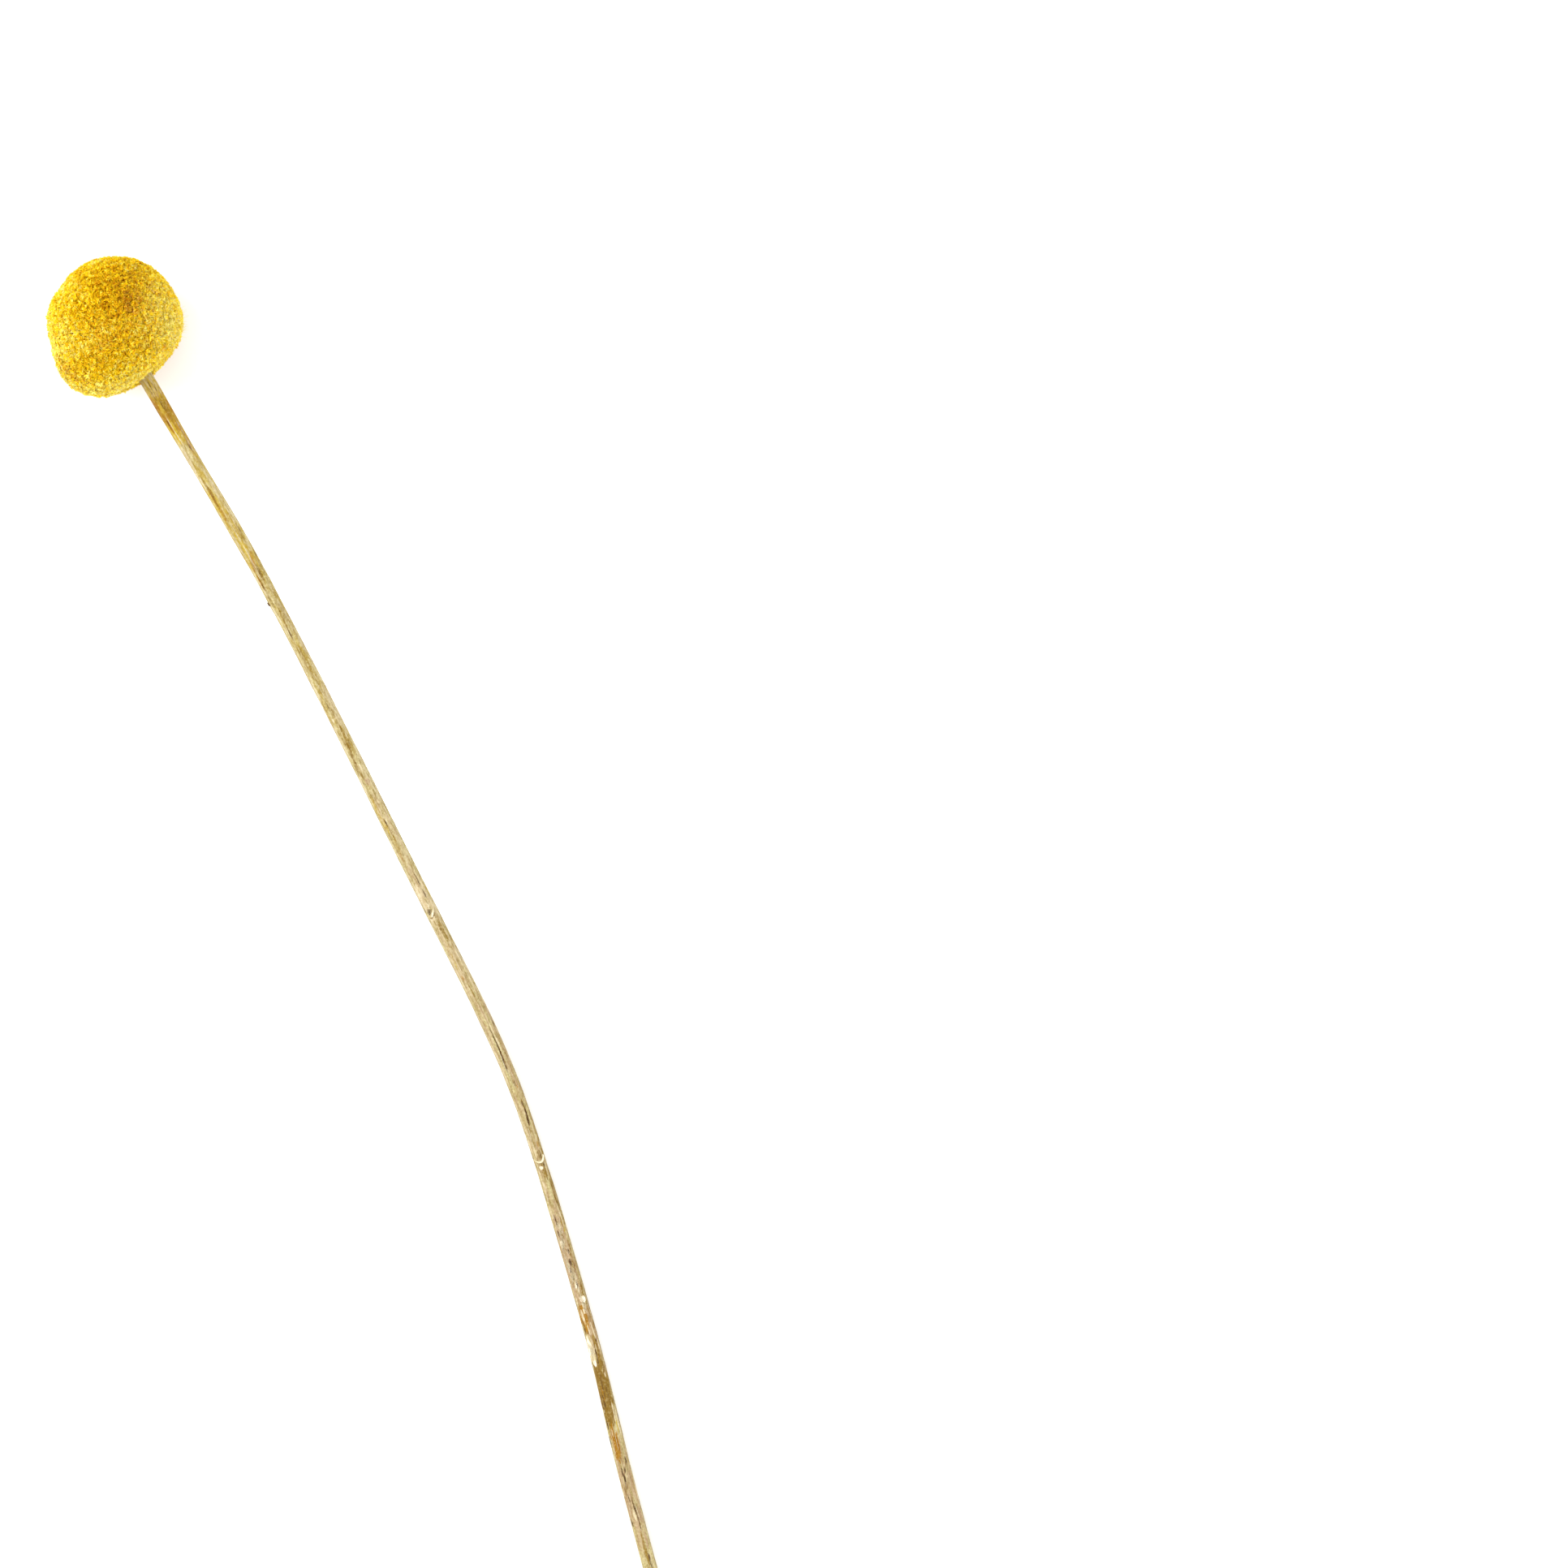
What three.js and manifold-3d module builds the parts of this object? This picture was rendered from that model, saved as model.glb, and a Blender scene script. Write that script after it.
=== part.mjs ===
// A dried billy button (Craspedia globosa), cut and laid down: one ribbed stem and its round flower head.
// Millimetres. +X runs from the head to the cut end of the stem, +Z is up, and the table is the plane z = 0.
// The origin is at the middle of the whole part's outline, on the table.

import * as THREE from 'three';
import { ConvexHull } from 'three/addons/math/ConvexHull.js';
import { mergeVertices } from 'three/addons/utils/BufferGeometryUtils.js';
import Module from 'manifold-3d';

const wasm = await Module();
wasm.setup();

// ---- driving dimensions -----------------------------------------------------------------------------------

const HEAD_RADIUS = 14.1; // from the middle of the head to the tips of its tufts
const HEAD_X = -211.4; // the middle of the head, from the origin
const HEAD_Y = -5.25;
const HEAD_HEIGHT = 13.45; // less than its radius, so that the lowest tufts are pressed flat where it rests

const TUFTS = 620; // small compound heads of florets that cover the ball
const TUFT_DEPTH = 1.3; // from the tips of a tuft down to the groove between two
const TUFT_CROWN = 0.62; // where a tuft's crown turns down into the groove, as a share of its half width
const CROWN_DROP = 0.25; // how much lower the rim of a crown is than its middle
const TUFT_UNEVEN = 0.32; // how far single florets stand out or lie back
const TUFT_STRAY = 0.012; // how far a tuft strays from its place in the spiral, as a share of the radius
const PRESSED_FROM = 8; // degrees from straight down within which the grooves are pressed shut
const PRESSED_TO = 24; // degrees from straight down beyond which they have their full depth

// Swellings and hollows of the ball: where they lie round it, seen from above, from +X towards +Y.
const SWELLINGS = [
  { at: -47, rise: 1.5, spread: 17 }, // the fullest side, next to the stem
  { at: 32, rise: -1.8, spread: 17 }, // the flattened shoulder on the other side of the stem
  { at: 172, rise: 0.3, spread: 26 }, // the crown, opposite the stem
  { at: -124, rise: 0.25, spread: 10 }, // a faint corner
  { at: -97, rise: -0.3, spread: 13 }, // and the flat beside it
  { at: 96, rise: -0.25, spread: 16 },
];

// The stem's middle line, from the middle of the head: along, sideways, and height above the table.
const STEM_LINE = [
  [0, 0, 13.45],
  [25.5, 4.6, 11.8],
  [56, 10.1, 9.7],
  [96.5, 15.3, 6.8],
  [117, 17.6, 5.35],
  [135, 19.7, 4.05],
  [157, 22.25, 2.7],
  [173, 23.25, 1.95],
  [189.5, 22.95, 1.43],
  [204, 22.2, 1.29],
  [229, 20.5, 1.46],
  [254.5, 17.8, 1.7],
  [275, 16, 1.9],
  [350, 9.6, 2.3],
  [437, 0, 1.65],
];
const STEM_INSET = 9; // the stem's top end lies this far from the middle of the head, inside it
const STEM_RADIUS_TOP = 1.24; // over the ribs, where the stem is thinnest
const STEM_RADIUS_END = 1.65; // over the ribs, at the cut end
const NECK_FLARE = 0.3; // how much the stem widens as it meets the head
const NECK_LENGTH = 14; // over which most of the flare is gone
// Slow changes of the stem's radius: where they lie along it, how much they add, and over what length.
const STEM_SWELLINGS = [
  { at: 48, rise: 0.17, spread: 8 },
  { at: 186, rise: -0.1, spread: 8 },
  { at: 222, rise: -0.12, spread: 28 },
  { at: 249, rise: 0.09, spread: 7 },
];
const RIBS = 9;
const RIB_DEPTH = 0.16;
const RIB_TWIST = 0.6; // radians that the ribs turn round the stem from one end to the other
const STEM_RINGS = 100;

const SOCKET_GAP = 0.3; // clearance round the stem where it stands in the head
const SOCKET_MOUTH = 19; // the socket's cutter reaches this far from the middle of the head

// Where fallen leaves have left their bases, from the middle of the head along the stem.
// turn is the side of the stem, in degrees: 0 faces sideways to -Y and 90 faces up.
const LEAF_BASES = [
  { along: 64.6, turn: 8, length: 2.2, width: 1.3, rise: 0.5 },
  { along: 135.5, turn: 76, length: 4.2, width: 2.1, rise: 0.55 },
  { along: 191, turn: 104, length: 5.2, width: 2.2, rise: 0.5 },
  { along: 258, turn: 82, length: 4.8, width: 2.1, rise: 0.55 },
  { along: 322, turn: 172, length: 4.4, width: 2.1, rise: 1.0 },
  { along: 388, turn: 36, length: 4.4, width: 2.3, rise: 0.65 },
];
const LEAF_BASE_SIDES = 6;
const LEAF_BASE_ROOT = 0.45; // how deep a leaf base is sunk into the stem, below the valleys between its ribs

const HEAD_COLOUR = '#e3b21c';
const STEM_COLOUR = '#c8ad62';

// ---- helpers ----------------------------------------------------------------------------------------------

const UP = new THREE.Vector3(0, 0, 1);
const DOWN = new THREE.Vector3(0, 0, -1);

/** A repeatable stream of numbers from 0 to 1 (mulberry32). */
function seededRandom(seed) {
  let state = seed;
  return () => {
    state = (state + 0x6d2b79f5) | 0;
    let t = Math.imul(state ^ (state >>> 15), 1 | state);
    t = (t + Math.imul(t ^ (t >>> 7), 61 | t)) ^ t;
    return ((t ^ (t >>> 14)) >>> 0) / 4294967296;
  };
}

/** A closed geometry, as a solid that can be joined and cut. */
function solidOf(geometry) {
  const bare = geometry.clone();
  bare.deleteAttribute('normal');
  bare.deleteAttribute('uv');
  const merged = mergeVertices(bare, 1e-4);
  return new wasm.Manifold(
    new wasm.Mesh({
      numProp: 3,
      vertProperties: new Float32Array(merged.attributes.position.array),
      triVerts: new Uint32Array(merged.index.array),
    }),
  );
}

/** A solid, as a geometry again. */
function geometryOf(solid) {
  const mesh = solid.getMesh();
  const geometry = new THREE.BufferGeometry();
  geometry.setAttribute('position', new THREE.BufferAttribute(mesh.vertProperties, 3));
  geometry.setIndex(new THREE.BufferAttribute(mesh.triVerts, 1));
  return geometry;
}

/** One named sub-part. */
function part(name, geometry, material) {
  const mesh = new THREE.Mesh(geometry, material);
  mesh.name = name;
  return mesh;
}

// ---- stem -------------------------------------------------------------------------------------------------

const stemLine = new THREE.CatmullRomCurve3(
  STEM_LINE.map(([x, y, z]) => new THREE.Vector3(HEAD_X + x, HEAD_Y + y, z)),
);
const stemLength = stemLine.getLength();

/** The stem's middle, direction and two directions across it, at a distance from the head's middle. */
function stemFrame(along) {
  const t = THREE.MathUtils.clamp(along / stemLength, 0, 1);
  const middle = stemLine.getPointAt(t);
  const forward = stemLine.getTangentAt(t);
  const side = new THREE.Vector3().crossVectors(forward, UP).normalize();
  const over = new THREE.Vector3().crossVectors(side, forward);
  return { middle, forward, side, over };
}

/** The stem's radius over its ribs: a slow taper, its swellings, and a flare where it meets the head. */
function stemRadius(along) {
  const taper = THREE.MathUtils.lerp(STEM_RADIUS_TOP, STEM_RADIUS_END, along / stemLength);
  const fromNeck = Math.abs(along - HEAD_RADIUS);
  const flared = taper + NECK_FLARE * Math.exp(-((fromNeck / NECK_LENGTH) ** 2));
  return STEM_SWELLINGS.reduce(
    (radius, { at, rise, spread }) => radius + rise * Math.exp(-0.5 * ((along - at) / spread) ** 2),
    flared,
  );
}

/** The ribbed stem: a closed cylinder bent along the stem's line, with a rib at every second side. */
function ribbedStem() {
  const geometry = new THREE.CylinderGeometry(1, 1, 1, 2 * RIBS, STEM_RINGS);
  const position = geometry.attributes.position;
  for (let i = 0; i < position.count; i++) {
    const share = 0.5 - position.getY(i);
    const along = THREE.MathUtils.lerp(STEM_INSET, stemLength, share);
    const { middle, side, over } = stemFrame(along);
    const fromAxis = Math.hypot(position.getX(i), position.getZ(i));
    const angle = Math.atan2(position.getX(i), position.getZ(i));
    const valley = (RIB_DEPTH * (1 - Math.cos(RIBS * angle))) / 2;
    const radius = fromAxis * (stemRadius(along) - valley);
    const turned = angle + RIB_TWIST * share;
    const place = middle
      .clone()
      .addScaledVector(side, radius * Math.cos(turned))
      .addScaledVector(over, radius * Math.sin(turned));
    position.setXYZ(i, place.x, place.y, place.z);
  }
  return solidOf(geometry);
}

/** What is left of one leaf: a small scale that leans along the stem, with its root sunk into it. */
function leafBase({ along, turn, length, width, rise }) {
  const { middle, forward, side, over } = stemFrame(along);
  const angle = THREE.MathUtils.degToRad(turn);
  const outward = side.clone().multiplyScalar(Math.cos(angle)).addScaledVector(over, Math.sin(angle));
  const across = new THREE.Vector3().crossVectors(outward, forward);
  const geometry = new THREE.ConeGeometry(width / 2, rise + LEAF_BASE_ROOT, LEAF_BASE_SIDES);
  geometry.translate(0, (rise + LEAF_BASE_ROOT) / 2, 0);
  geometry.scale(1, 1, length / width);
  const lean = new THREE.Matrix4().makeShear(0, 0, 0, -length / (3 * width), 0, 0);
  geometry.applyMatrix4(lean);
  const root = middle.clone().addScaledVector(outward, stemRadius(along) - RIB_DEPTH - LEAF_BASE_ROOT);
  geometry.applyMatrix4(new THREE.Matrix4().makeBasis(across, outward, forward).setPosition(root));
  return solidOf(geometry);
}

/** The whole stem in one body. */
function stemSolid() {
  return LEAF_BASES.reduce((stem, base) => stem.add(leafBase(base)), ribbedStem());
}

// ---- flower head ------------------------------------------------------------------------------------------

/** The ball's radius in a direction from its middle, with its swellings and hollows. */
function headRadius(direction) {
  return SWELLINGS.reduce((radius, { at, rise, spread }) => {
    const a = THREE.MathUtils.degToRad(at);
    const away = THREE.MathUtils.radToDeg(direction.angleTo(new THREE.Vector3(Math.cos(a), Math.sin(a), 0)));
    return radius + rise * Math.exp(-0.5 * (away / spread) ** 2);
  }, HEAD_RADIUS);
}

/** How deep the grooves are in a direction: nothing where the head is pressed on the table. */
function grooveDepth(direction) {
  const fromDown = THREE.MathUtils.radToDeg(direction.angleTo(DOWN));
  return TUFT_DEPTH * THREE.MathUtils.smoothstep(fromDown, PRESSED_FROM, PRESSED_TO);
}

/** The directions of the tufts: a spiral round the ball in steps of the golden angle, a little uneven. */
function tuftDirections(random) {
  const goldenAngle = Math.PI * (3 - Math.sqrt(5));
  const stray = () => TUFT_STRAY * (2 * random() - 1);
  return Array.from({ length: TUFTS }, (_, i) => {
    const x = 1 - (2 * i + 1) / TUFTS;
    const r = Math.sqrt(1 - x * x);
    const spiral = new THREE.Vector3(x, r * Math.cos(i * goldenAngle), r * Math.sin(i * goldenAngle));
    return spiral.add(new THREE.Vector3(stray(), stray(), stray())).normalize();
  });
}

/** The triangles that join each tuft to its neighbours, as index triples that turn the same way. */
function neighbourTriangles(directions) {
  const indexOf = new Map(directions.map((direction, i) => [direction, i]));
  return new ConvexHull().setFromPoints(directions).faces.map((face) => {
    const edges = [face.edge, face.edge.next, face.edge.next.next];
    return edges.map((edge) => indexOf.get(edge.head().point));
  });
}

/** For each tuft, the triangles round it, in order. */
function trianglesRound(count, triangles) {
  const leaving = new Map();
  triangles.forEach((triangle, t) => {
    triangle.forEach((from, k) => leaving.set(`${from}>${triangle[(k + 1) % 3]}`, t));
  });
  return Array.from({ length: count }, (_, tuft) => {
    const first = triangles.findIndex((triangle) => triangle.includes(tuft));
    const round = [];
    let t = first;
    do {
      round.push(t);
      const triangle = triangles[t];
      t = leaving.get(`${tuft}>${triangle[(triangle.indexOf(tuft) + 2) % 3]}`);
    } while (t !== first);
    return round;
  });
}

/** The ball of tufts: each rises from the grooves round it to an uneven crown. */
function ballOfTufts() {
  const random = seededRandom(1848);
  const uneven = () => TUFT_UNEVEN * (2 * random() - 1);
  const directions = tuftDirections(random);
  const triangles = neighbourTriangles(directions);
  const position = [];
  const index = [];
  const addPoint = (direction, rise) => {
    const point = direction.clone().multiplyScalar(headRadius(direction) + rise);
    return position.push(point.x, point.y, point.z) / 3 - 1;
  };
  const grooves = triangles.map(([a, b, c]) => {
    const direction = directions[a].clone().add(directions[b]).add(directions[c]).normalize();
    return { direction, point: addPoint(direction, -grooveDepth(direction)) };
  });
  trianglesRound(TUFTS, triangles).forEach((round, tuft) => {
    const middle = addPoint(directions[tuft], uneven() / 2);
    const rim = round.map((t) => {
      const direction = directions[tuft].clone().lerp(grooves[t].direction, TUFT_CROWN).normalize();
      return addPoint(direction, -CROWN_DROP + uneven());
    });
    round.forEach((t, k) => {
      const next = (k + 1) % round.length;
      const [groove, nextGroove] = [grooves[t].point, grooves[round[next]].point];
      index.push(groove, nextGroove, rim[next], groove, rim[next], rim[k], middle, rim[k], rim[next]);
    });
  });
  const geometry = new THREE.BufferGeometry();
  geometry.setAttribute('position', new THREE.Float32BufferAttribute(position, 3));
  geometry.setIndex(index);
  return solidOf(geometry.translate(HEAD_X, HEAD_Y, HEAD_HEIGHT));
}

/** The plain hole that the stem stands in, with clearance all round and past its end. */
function stemSocket() {
  const { forward, side, over } = stemFrame(STEM_INSET);
  const from = STEM_INSET - SOCKET_GAP;
  const depth = SOCKET_MOUTH - from;
  const radius = stemRadius(HEAD_RADIUS) + SOCKET_GAP;
  const geometry = new THREE.CylinderGeometry(radius, radius, depth, 2 * RIBS);
  geometry.translate(0, from + depth / 2, 0);
  geometry.applyMatrix4(new THREE.Matrix4().makeBasis(side, forward, over));
  return solidOf(geometry.translate(HEAD_X, HEAD_Y, HEAD_HEIGHT));
}

/** Everything under the table's surface. */
function underTable() {
  const size = 4 * HEAD_RADIUS;
  return solidOf(new THREE.BoxGeometry(size, size, size).translate(HEAD_X, HEAD_Y, -size / 2));
}

/** The whole flower head in one body. */
function headSolid() {
  return ballOfTufts().subtract(stemSocket()).subtract(underTable());
}

// ---- the part ---------------------------------------------------------------------------------------------

/** A dry, matt plant surface. */
function dryFinish(color, roughness) {
  return new THREE.MeshStandardMaterial({ color, roughness, metalness: 0, flatShading: true });
}

const billyButton = new THREE.Group();
billyButton.add(part('flower_head', geometryOf(headSolid()), dryFinish(HEAD_COLOUR, 0.95)));
billyButton.add(part('stem', geometryOf(stemSolid()), dryFinish(STEM_COLOUR, 0.6)));

export default billyButton;
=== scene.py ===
"""A dried billy button, cut and laid down: its flower head and its stem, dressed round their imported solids.

Lengths are metres, unless they are said to be millimetres. +X runs from the head to the cut end of the
stem, +Z is up and the table is the plane z = 0. Places on the stem are given by two numbers: along, the
distance from the middle of the head, and turn, the side of the stem in degrees, where 0 faces sideways to
-Y, 90 faces up and 180 faces to +Y.
"""

import logging
import math
import random
from collections.abc import Sequence
from dataclasses import dataclass
from enum import Enum

import bmesh
import bpy
import numpy as np
from mathutils import Matrix, Vector


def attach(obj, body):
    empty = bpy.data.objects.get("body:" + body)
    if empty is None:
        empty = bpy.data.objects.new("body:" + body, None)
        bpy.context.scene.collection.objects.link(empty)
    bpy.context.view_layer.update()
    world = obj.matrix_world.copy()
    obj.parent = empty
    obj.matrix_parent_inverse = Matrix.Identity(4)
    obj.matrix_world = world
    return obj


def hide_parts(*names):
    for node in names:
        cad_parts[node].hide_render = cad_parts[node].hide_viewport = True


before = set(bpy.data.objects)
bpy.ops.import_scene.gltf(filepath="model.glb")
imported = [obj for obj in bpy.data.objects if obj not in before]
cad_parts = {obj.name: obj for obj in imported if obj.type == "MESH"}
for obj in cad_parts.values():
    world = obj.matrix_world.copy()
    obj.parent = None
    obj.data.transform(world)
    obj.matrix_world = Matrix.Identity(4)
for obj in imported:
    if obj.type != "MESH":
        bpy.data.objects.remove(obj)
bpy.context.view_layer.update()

MM = 0.001
BODY = "root"
HEAD_NODE = "flower_head"
STEM_NODE = "stem"
HEAD_MIDDLE = (-211.4 * MM, -5.25 * MM, 13.45 * MM)
UP = Vector((0.0, 0.0, 1.0))
log = logging.getLogger("billy_button")

# Short names for types that are used often.
Array, Draw = np.ndarray, random.Random
Pair, Triple = tuple[float, float], tuple[float, float, float]
Material, Mesh, Shape = bpy.types.Material, bpy.types.Mesh, bmesh.types.BMesh
Node, NodeTree, Socket = bpy.types.Node, bpy.types.NodeTree, bpy.types.NodeSocket
Feed = Socket | float | tuple[float, ...]


class StreakKind(Enum):
    """What tints a streak of the stem's skin. The value names the attribute that holds it."""

    GOLD = "gold"
    BLUSH = "blush"
    OLIVE = "olive"
    AMBER = "amber"
    DARK = "dark"
    # Pale weathered straw, and also painted highlights and painted light on lit and shaded sides.
    BLEACH = "bleach"
    CHALK = "chalk"


# ---- small helpers ----


def linear(hex_colour: str) -> tuple[float, float, float, float]:
    """Turns a hex colour into the linear one that a shader takes, by the standard curve of screen colours.

    Args:
        hex_colour: the colour as "#rrggbb".

    Returns:
        Linear red, green and blue, and full opacity.
    """
    shares = [int(hex_colour[i : i + 2], 16) / 255 for i in (1, 3, 5)]
    red, green, blue = (s / 12.92 if s <= 0.04045 else ((s + 0.055) / 1.055) ** 2.4 for s in shares)
    return red, green, blue, 1.0


def smooth_share(value: Array, low: float, high: float) -> Array:
    """Rises smoothly from nothing at low to one at high.

    Args:
        value: the numbers to read.
        low: where the rise starts. It may be the larger of the two, and then it is a fall.
        high: where the rise ends.

    Returns:
        A share from 0 to 1 for each number.
    """
    share = np.clip((value - low) / (high - low), 0.0, 1.0)
    return share * share * (3.0 - 2.0 * share)


def unit(rows: Array) -> Array:
    """Returns rows of vectors, each brought to a length of one."""
    return rows / np.linalg.norm(rows, axis=1, keepdims=True)


def nearness(directions: Array, towards: Array, spread: float) -> Array:
    """Tells how near directions are to one direction.

    Args:
        directions: the directions, one row each.
        towards: the one that they are set against.
        spread: degrees at which three fifths of the nearness are left.

    Returns:
        A share for each, from nothing far away to one on it.
    """
    away = np.degrees(np.arccos(np.clip(directions @ towards, -1.0, 1.0)))
    return np.exp(-0.5 * (away / spread) ** 2)


def places(mesh: Mesh) -> Array:
    """Returns the places of a mesh's vertices, one row each."""
    flat = np.empty(3 * len(mesh.vertices), np.float32)
    mesh.vertices.foreach_get("co", flat)
    return flat.reshape(-1, 3).astype(float)


def put(mesh: Mesh, rows: Array) -> None:
    """Moves a mesh's vertices to new places.

    Args:
        mesh: the mesh.
        rows: the new places, one row each.
    """
    mesh.vertices.foreach_set("co", rows.astype(np.float32).ravel())
    mesh.update()


def mark(mesh: Mesh, name: str, values: Array) -> None:
    """Stores a number or a vector for each vertex, for a material to read.

    Args:
        mesh: the mesh.
        name: the attribute's name.
        values: one number or one row of three for each vertex.
    """
    kind, slot = ("FLOAT", "value") if values.ndim == 1 else ("FLOAT_VECTOR", "vector")
    found = mesh.attributes.get(name) or mesh.attributes.new(name, kind, "POINT")
    found.data.foreach_set(slot, values.astype(np.float32).ravel())


def marked(mesh: Mesh, name: str) -> Array:
    """Returns the number that a mesh holds for each vertex under a name."""
    values = np.empty(len(mesh.vertices), np.float32)
    mesh.attributes[name].data.foreach_get("value", values)
    return values.astype(float)


def blank(*names: str) -> Shape:
    """Starts a shape whose vertices hold a number under each of these names."""
    shape = bmesh.new()
    for name in names:
        shape.verts.layers.float.new(name)
    return shape


def finished(shape: Shape, name: str, smooth: bool = True) -> Mesh:
    """Closes the modelling of a shape.

    Args:
        shape: the shape, which is freed.
        name: the name of the mesh.
        smooth: whether its faces are shaded smoothly.

    Returns:
        The shape as a mesh.
    """
    for face in shape.faces:
        face.smooth = smooth
    mesh = bpy.data.meshes.new(name)
    shape.to_mesh(mesh)
    shape.free()
    return mesh


def stamp(target: Shape, template: Mesh, placed: Matrix) -> None:
    """Adds a copy of a template to a shape.

    Args:
        target: the shape that grows.
        template: the mesh that is copied.
        placed: where the copy goes.
    """
    copy = template.copy()
    copy.transform(placed)
    target.from_mesh(copy)
    bpy.data.meshes.remove(copy)


def spun(draw: Draw) -> Matrix:
    """Returns a random turn round the z axis."""
    return Matrix.Rotation(draw.uniform(0.0, math.tau), 4, "Z")


def turned_to(direction: Vector) -> Matrix:
    """Returns the turn that takes the z axis to a direction."""
    return direction.to_track_quat("Z", "Y").to_matrix().to_4x4()


def strand_mesh(name: str, sides: int, outline: Sequence[Pair], bow: float = 0.0) -> Mesh:
    """Makes a closed strand of unit length and unit width, from its root at z = 0 to its tip at z = 1.

    Args:
        name: the name of the mesh.
        sides: how many sides it has.
        outline: its rings from the root on, each a height and a width. The tip is added to them.
        bow: how far it bows sideways, in its own widths.

    Returns:
        The mesh, with its attribute reach running from 0 at the root to 1 at the tip.
    """
    shape = blank("reach")
    reach = shape.verts.layers.float["reach"]
    bmesh.ops.create_cone(
        shape, cap_ends=True, segments=sides, radius1=0.5, radius2=0.0, depth=1.0,
        matrix=Matrix.Translation((0.0, 0.0, 0.5)),
    )
    rings = len(outline)
    if rings > 1:
        upright = [edge for edge in shape.edges if abs(edge.verts[0].co.z - edge.verts[1].co.z) > 0.5]
        bmesh.ops.subdivide_edges(shape, edges=upright, cuts=rings - 1)
    for vertex in shape.verts:
        ring = round(vertex.co.z * rings)
        height, width = outline[ring] if ring < rings else (1.0, 0.0)
        shrink = width / (1.0 - vertex.co.z) if ring < rings else 0.0
        bowed = bow * math.sin(math.pi * height)
        vertex.co = Vector((vertex.co.x * shrink + bowed, vertex.co.y * shrink, height))
        vertex[reach] = height
    return finished(shape, name)


def cubic(start: Array, finish: Array, leave: Array, arrive: Array, share: Array) -> tuple[Array, Array]:
    """Runs a smooth curve from one point to another.

    Args:
        start: where it starts.
        finish: where it ends.
        leave: its slope at the start.
        arrive: its slope at the end.
        share: how far along it to look, from 0 to 1.

    Returns:
        The places there and the slopes there.
    """
    bend, swing = 3 * (finish - start) - 2 * leave - arrive, 2 * (start - finish) + leave + arrive
    spots = start + leave * share + bend * share**2 + swing * share**3
    return spots, leave + 2 * bend * share + 3 * swing * share**2


def bent_along(strand: Mesh, knots: Sequence[Vector], width: float) -> Mesh:
    """Bends a copy of a strand to a smooth curve through its knots.

    Args:
        strand: a strand of unit length and width, along z.
        knots: the points that its middle passes.
        width: its width.

    Returns:
        The bent copy.
    """
    copy = strand.copy()
    spots = places(copy)
    points = np.array(knots)
    padded = np.vstack([points[:1], points, points[-1:]])
    spans = len(points) - 1
    first = np.minimum((spots[:, 2] * spans).astype(int), spans - 1)
    step = (spots[:, 2] * spans - first)[:, None]
    before, start, finish, after = (padded[first + i] for i in range(4))
    middle, ahead = cubic(start, finish, (finish - before) / 2, (after - start) / 2, step)
    aside = np.eye(3)[np.argmin(np.abs(points[-1] - points[0]))]
    across = unit(np.cross(ahead, aside))
    over = unit(np.cross(ahead, across))
    put(copy, middle + width * (across * spots[:, :1] + over * spots[:, 1:2]))
    return copy


def piece(name: str, mesh: Mesh, finish: "Finish", node: str) -> None:
    """Puts a finished mesh in the scene as one piece of the part, and reports it.

    Args:
        name: the piece's name.
        mesh: its mesh, in its place.
        finish: its finish.
        node: the solid that it stands for, which is hidden.
    """
    mesh.name = name
    mesh.materials.clear()
    mesh.materials.append(finish.material())
    made = bpy.data.objects.new(name, mesh)
    bpy.context.collection.objects.link(made)
    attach(made, BODY)
    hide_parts(node)
    triangles = sum(len(face.vertices) - 2 for face in mesh.polygons)
    log.info("%s: %d triangles", name, triangles)


# ---- node trees ----


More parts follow.
